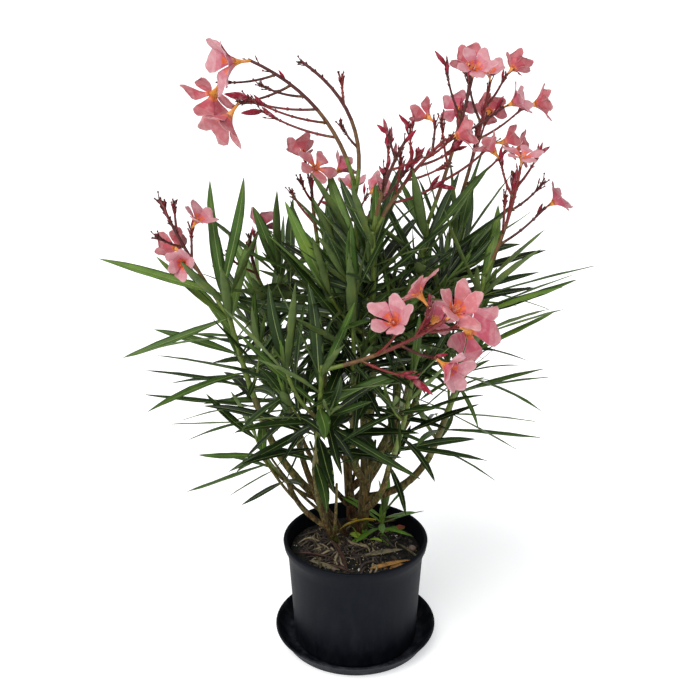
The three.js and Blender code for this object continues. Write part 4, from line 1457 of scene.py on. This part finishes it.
pot_low, pot_high = (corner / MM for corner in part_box("pot"))
dish_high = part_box("saucer")[1] / MM
RIM, RIM_RADIUS, POT_FOOT = pot_high.z, pot_high.x, pot_low.z
DISH_TOP, DISH_RADIUS = dish_high.z, dish_high.x
WALL, BODY_RADIUS, FOOT_RADIUS = 3, 98.5, 90.5

pot = Piece("nursery_pot", ["pot_skin"])
pot.add(lathe([
    (0, POT_FOOT + 1.5), (FOOT_RADIUS - 14, POT_FOOT + 1.5), (FOOT_RADIUS - 12, POT_FOOT),
    *bend((FOOT_RADIUS - 3, POT_FOOT + 3), 3, -90, 0),
    (lerp(FOOT_RADIUS, BODY_RADIUS, 0.5) - 0.6, lerp(POT_FOOT, RIM - 26, 0.5)),
    (BODY_RADIUS - 0.6, RIM - 30), (BODY_RADIUS + 0.3, RIM - 25.5), (BODY_RADIUS + 1.4, RIM - 21),
    (RIM_RADIUS - 3, RIM - 14.5), (RIM_RADIUS - 1.4, RIM - 11.5), (RIM_RADIUS - 0.8, RIM - 8),
    *bend((RIM_RADIUS - 3.1, RIM - 3.1), 3.1, 0, 150, 9),
    (RIM_RADIUS - 6.2, RIM - 4.2), (RIM_RADIUS - 7, RIM - 9), (BODY_RADIUS - 2.2, RIM - 20),
    (BODY_RADIUS - WALL, RIM - 23), (FOOT_RADIUS - WALL, POT_FOOT + WALL + 1), (0, POT_FOOT + WALL),
]), "pot_skin")
saucer = Piece("drip_saucer", ["saucer_skin"])
saucer.add(lathe([
    (0, 0.8), (78, 0.8), (80, 0), (98, 0), *bend((102, 4), 4, -90, -20),
    (DISH_RADIUS - 5.5, DISH_TOP - 9), (DISH_RADIUS - 3, DISH_TOP - 4.2),
    (DISH_RADIUS - 0.7, DISH_TOP - 3.6),
    *bend((DISH_RADIUS - 1.6, DISH_TOP - 1.6), 1.6, -40, 130, 7),
    (DISH_RADIUS - 4.6, DISH_TOP - 3.4), (DISH_RADIUS - 7.6, DISH_TOP - 9), (103, 5.6), (99, 3),
    (84, 2.6), (82, 3), (0, 3),
]), "saucer_skin")


# ---------------------------------------------------------------- potting mix and what lies on it

MIX_RADIUS = 94.6
MIX_SIDES, MIX_RINGS = 144, 44
MOUND = 7
HEAP = {"x": -62, "y": 8, "height": 8, "reach": 32}
# The mix's unevenness: how fine it is and how high, the width of its calmer edge, and how far it
# lies under the source's.
COARSE, FINE, CALM, SUNK_MIX = (0.045, 2.2), (0.16, 1.3), 12, 1.5
scatter = Seeded(77)


def soil_height(x, y):
    """A low mound with coarse and fine unevenness, and the heap on its left."""
    r = math.hypot(x, y)
    coarse, fine = noise.noise(Vector((x, y, 0)) * COARSE[0]), noise.noise(Vector((x, y, 9)) * FINE[0])
    rough = coarse * COARSE[1] + fine * FINE[1]
    edge = smooth((MIX_RADIUS - r) / CALM)
    off = math.hypot(x - HEAP["x"], y - HEAP["y"]) / HEAP["reach"]
    mound, heap = MOUND * (1 - (r / MIX_RADIUS) ** 2), HEAP["height"] * math.exp(-off * off)
    return SOIL_TOP + mound - SUNK_MIX + rough * (0.4 + 0.6 * edge) + heap


def on_mix(x, y, above):
    """The point at a height over the mix."""
    return Vector((x, y, soil_height(x, y) + above))


soil = Piece("soil", ["mix_crumbs"])
rings = [[Vector((0, 0, POT_FOOT + 8))]]
for r, z in ((84, POT_FOOT + 8), (92.5, SOIL_TOP - 25)):
    rings.append([Vector((x, y, z)) for x, y in round_axis(r, MIX_SIDES)])
for k in range(MIX_RINGS, 0, -1):
    around = round_axis(MIX_RADIUS * k / MIX_RINGS, MIX_SIDES)
    rings.append([on_mix(x, y, 0) for x, y in around])
rings.append([on_mix(0, 0, 0)])
soil.add(loft(rings), "mix_crumbs")


LUMP = {
    "long": (0.7, 1.3), "wide": (0.6, 1), "spin": (0, 6.3), "tip": (-0.5, 0.5),
    "rough": (-0.16, 0.16), "sides": 7, "levels": ((-1, 0), (-0.55, 0.8), (0.15, 1), (0.7, 0.65), (1, 0)),
}


def lump(place, size, flat):
    """A rough pebble or chip, turned at random."""
    stretch = [size * scatter.between(*LUMP["long"]), size * scatter.between(*LUMP["wide"]), size * flat]
    spin = Quaternion(UP, scatter.between(*LUMP["spin"]))
    spin = spin @ Quaternion(Vector((1, 0, 0)), scatter.between(*LUMP["tip"]))
    rings = []
    for z, r in LUMP["levels"]:
        points = []
        for x, y in round_axis(r, LUMP["sides"]) if r else [(0, 0)]:
            rough = (x + scatter.between(*LUMP["rough"]), y + scatter.between(*LUMP["rough"]), z)
            points.append(place + spin @ Vector([p * half / 2 for p, half in zip(rough, stretch)]))
        rings.append(points)
    return loft(rings)


def somewhere(reach):
    """A spot on the mix, evenly spread."""
    r, a = reach * math.sqrt(scatter()), scatter.between(0, 2 * math.pi)
    return r * math.cos(a), r * math.sin(a)


# What is strewn over the mix: how many, their sizes, how high their middles stand and how flat they
# are as shares of their size, and the share of them that is dark, white or pale. A gathered share
# of them is moved part of the way to the spot named near.
EDGE = 3
CHIPS = {
    "count": 760, "size": (1.8, 7.5), "stand": 0.08, "flat": 0.45, "dark": 0.78, "usual": 0.85,
    "large": 1.5,
}
GRIT = {
    "count": 340, "size": (0.9, 2.6), "stand": 0.25, "flat": 0.8, "white": 0.35,
    "gathered": 0.7, "near": (30, -40), "way": (0.5, 0.5),
}
STRAW = {
    "count": 190, "length": (10, 46), "width": (1, 4), "curve": (-150, 150), "lift": (0, 8),
    "pale": 0.36, "edge": 24, "gathered": 0.66, "near": (-60, -8), "way": (0.5, 0.35),
}


def gathered(x, y, kind):
    """The spot itself, or for some of them a spot nearer to where that kind lies thickest."""
    if scatter() < kind["gathered"]:
        return tuple(lerp(a, b, way) for a, b, way in zip((x, y), kind["near"], kind["way"]))
    return x, y


chips = Piece("chips", ["chip_dark", "chip_brown"])
grit = Piece("grit", ["perlite", "stone", "clay_red", "grain_tan"])
litter = Piece("litter", ["straw", "straw_grey"])
for _ in range(CHIPS["count"]):
    x, y = somewhere(MIX_RADIUS - EDGE)
    size = scatter.between(*CHIPS["size"]) * (1 if scatter() < CHIPS["usual"] else CHIPS["large"])
    form = lump(on_mix(x, y, size * CHIPS["stand"]), size, CHIPS["flat"])
    chips.add(form, "chip_dark" if scatter() < CHIPS["dark"] else "chip_brown")
for _ in range(GRIT["count"]):
    x, y = gathered(*somewhere(MIX_RADIUS - EDGE), GRIT)
    size = scatter.between(*GRIT["size"])
    form = lump(on_mix(x, y, size * GRIT["stand"]), size, GRIT["flat"])
    grit.add(form, "perlite" if scatter() < GRIT["white"] else "grain_tan")
# Single larger stones: x, y, size and finish.
STONES = [
    (34, 12, 9, "perlite"), (83, -5, 14, "stone"), (40, -55, 6, "stone"), (-30, -60, 7, "stone"),
    (67, 56, 13, "clay_red"), (-62, 30, 9, "stone"), (5, -62, 6, "perlite"), (60, 30, 7, "perlite"),
]
for x, y, size, finish in STONES:
    grit.add(lump(on_mix(x, y, size * 0.2), size, 0.7), finish)


def strip(x, y, heading, length, width, curve, lift):
    """A thin dry strip that follows the ground, its middle raised a little."""
    rings, steps = [], 8
    for k in range(steps + 1):
        s = k / steps
        turn = math.radians(heading + curve * (s - 0.5))
        if k:
            x += math.cos(turn) * length / steps
            y += math.sin(turn) * length / steps
        across = Vector((-math.sin(turn), math.cos(turn), 0))
        forward = Vector((math.cos(turn), math.sin(turn), 0))
        centre = Vector((x, y, soil_height(x, y) + 0.9 + lift * math.sin(math.pi * s)))
        rings.append(ring(centre, forward, across, width * (1 - 0.6 * abs(2 * s - 1) ** 3) / 2, 5))
    return loft(rings)


for _ in range(STRAW["count"]):
    x, y = gathered(*somewhere(MIX_RADIUS - STRAW["edge"]), STRAW)
    length, heading = scatter.between(*STRAW["length"]), scatter.between(0, 360)
    far_x = x + length * math.cos(math.radians(heading))
    far_y = y + length * math.sin(math.radians(heading))
    if math.hypot(far_x, far_y) > MIX_RADIUS - EDGE - 1:
        heading += 180
    width, curve, lift = (scatter.between(*STRAW[key]) for key in ("width", "curve", "lift"))
    form = strip(x, y, heading, length, width, curve, lift)
    if max(math.hypot(p.x, p.y) for p in form[0]) < MIX_RADIUS - 1:
        litter.add(form, "straw" if scatter() < STRAW["pale"] else "straw_grey")


# Leaves that lie on the mix or lean on the stems: x, y, heading, length, width, lean, sag, height of
# the foot over the mix and roll, then the finish and how far the blade is folded.
FALLEN = [
    (30, 20, 205, 60, 15, 72, 0.36, 34, 30, "leaf_yellow", 0.5),
    (26, 30, 182, 34, 8, 78, 0.2, 26, -20, "leaf_yellow", 0.6),
    (12, 14, 176, 24, 10, 58, 0.2, 3, -35, "leaf_lime", 0.5),
    (6, 12, 150, 22, 9, 30, 0.1, 2, 20, "leaf_lime", 0.5),
    (14, 10, 214, 26, 10, 72, 0.2, 4, 25, "leaf_sprout", 0.5),
    (16, 16, 120, 24, 9, 24, 0.1, 2, -10, "leaf_sprout", 0.5),
    (20, 10, 330, 24, 9, 66, 0.2, 4, 10, "leaf_lime", 0.6),
    (-36, -6, -72, 78, 11, 97, -0.02, 12, 0, "dead_brown", 1),
    (84, -34, 204, 72, 11, 88, 0, 3.5, 20, "dead_tan", 0.8),
    (76, -46, 196, 54, 11, 90, -0.03, 3, -25, "dead_tan", 0.6),
    (-66, -40, -30, 50, 8, 89, 0, 3, 15, "dead_grey", 1.1),
    (30, 66, 20, 58, 9, 89, 0, 3, 30, "dead_brown", 0.9),
    (-80, -8, 40, 56, 8, 88, 0, 4, -30, "dead_grey", 1.2),
    (-50, -62, 100, 60, 9, 86, 0.04, 4, 40, "dead_grey", 1),
    (-30, -40, 170, 52, 8, 87, 0, 5, 10, "dead_brown", 1.2),
    (62, 6, -60, 58, 9, 88, 0.02, 4, -15, "dead_grey", 0.9),
    (8, -34, 12, 62, 9, 88, 0, 4, 25, "dead_grey", 1.1),
    (-8, -70, 150, 46, 8, 88, 0, 3, 0, "dead_brown", 1.2),
]


def fallen(x, y, heading, length, width, lean, sag, height, roll):
    """One of them as a leaf that blade_form can make."""
    flat = headed(heading)
    forward = swung(UP, flat, lean)
    return {
        "root": on_mix(x, y, height), "dir": forward, "length": length, "width": width, "sag": sag,
        "normal": turned(swung(-flat, UP, lean), forward, roll),
    }


FALLEN_FINISHES = [
    "dead_tan", "dead_brown", "dead_grey", "leaf_yellow", "leaf_lime", "leaf_sprout", "straw",
]
FALLEN_TWIST = 50
fallen_leaves = Piece("fallen_leaves", FALLEN_FINISHES)
for *row, tone, fold in FALLEN:
    rib = tone if tone.startswith("leaf") else "straw"
    form = blade_form(fallen(*row), scatter, fold=fold, twist=FALLEN_TWIST)
    fallen_leaves.add(form, blade_finish(tone, rib, tone))


# ---------------------------------------------------------------- pieces, and what they stand for

WOOD = [*TRUNKS, *("bough_" + name for name in BOUGHS)]
CROWN = ["foliage_" + name for name in MASSES]

bark.make("bark", WOOD)
foliage["leaves_front"].make("foliage", [*CROWN, "basal_sprout"])
foliage["leaves_back"].make("foliage", CROWN)
twigs.make("foliage", CROWN)
stalks.make("stalk", CROWN)
flowers.make("petal", CROWN)
buds.make("bud", CROWN)
pot.make("pot_plastic", ["pot"])
saucer.make("pot_plastic", ["saucer"])
soil.make("potting_mix", ["potting_mix"])
chips.make("potting_mix", shaded=False)
grit.make("potting_mix", shaded=False)
litter.make("potting_mix")
fallen_leaves.make("foliage")


# ---------------------------------------------------------------- floor, light and camera

AIM = Vector((-0.008, 0, 0.457))
CAMERA = {"distance": 1.4825, "elevation": 21, "lens": 55.95, "sensor": 36}
ROOM = {"ambient": 0.36, "backdrop": 1.06}


def make_floor():
    mesh = bpy.data.meshes.new("floor")
    far = 40  # metres
    mesh.from_pydata([(-far, -far, 0), (far, -far, 0), (far, far, 0), (-far, far, 0)], [], [(0, 1, 2, 3)])
    mesh.materials.append(material("floor"))
    floor = bpy.data.objects.new("floor", mesh)
    floor.location.z = -0.2 * MM
    bpy.context.scene.collection.objects.link(floor)


def lamp(name, toward, energy, spread, colour):
    """A distant light that shines along `toward` and looks `spread` degrees wide."""
    light = bpy.data.lights.new(name, "SUN")
    light.energy, light.angle, light.color = energy, math.radians(spread), colour
    made = bpy.data.objects.new(name, light)
    made.rotation_euler = Vector(toward).to_track_quat("-Z", "Y").to_euler()
    bpy.context.scene.collection.objects.link(made)


def make_light():
    """A white room: dim light from all round, and two very wide soft lights, the stronger one from
    the upper left and the weaker one from the right."""
    world = bpy.data.worlds.new("studio")
    world.use_nodes = True
    tree = world.node_tree
    tree.nodes["Background"].inputs["Color"].default_value = COOL_WHITE
    path = tree.nodes.new("ShaderNodeLightPath")
    level = tree.nodes.new("ShaderNodeMapRange")
    level.inputs["To Min"].default_value = ROOM["ambient"]
    level.inputs["To Max"].default_value = ROOM["backdrop"]
    tree.links.new(path.outputs["Is Camera Ray"], level.inputs["Value"])
    tree.links.new(level.outputs["Result"], tree.nodes["Background"].inputs["Strength"])
    bpy.context.scene.world = world
    lamp("key", (0.5, 0.62, -1), 2.5, 55, (1, 0.985, 0.955))
    lamp("fill", (-0.9, 0.5, -0.7), 0.5, 80, (0.95, 0.98, 1))


def make_camera():
    lens = bpy.data.cameras.new("camera")
    lens.lens, lens.sensor_width = CAMERA["lens"], CAMERA["sensor"]
    camera = bpy.data.objects.new("camera", lens)
    raised = math.radians(CAMERA["elevation"])
    camera.location = AIM + Vector((0, -math.cos(raised), math.sin(raised))) * CAMERA["distance"]
    camera.rotation_euler = (math.pi / 2 - raised, 0, 0)
    bpy.context.scene.collection.objects.link(camera)
    bpy.context.scene.camera = camera


make_floor()
make_light()
make_camera()
bpy.context.scene.view_settings.view_transform = "Standard"
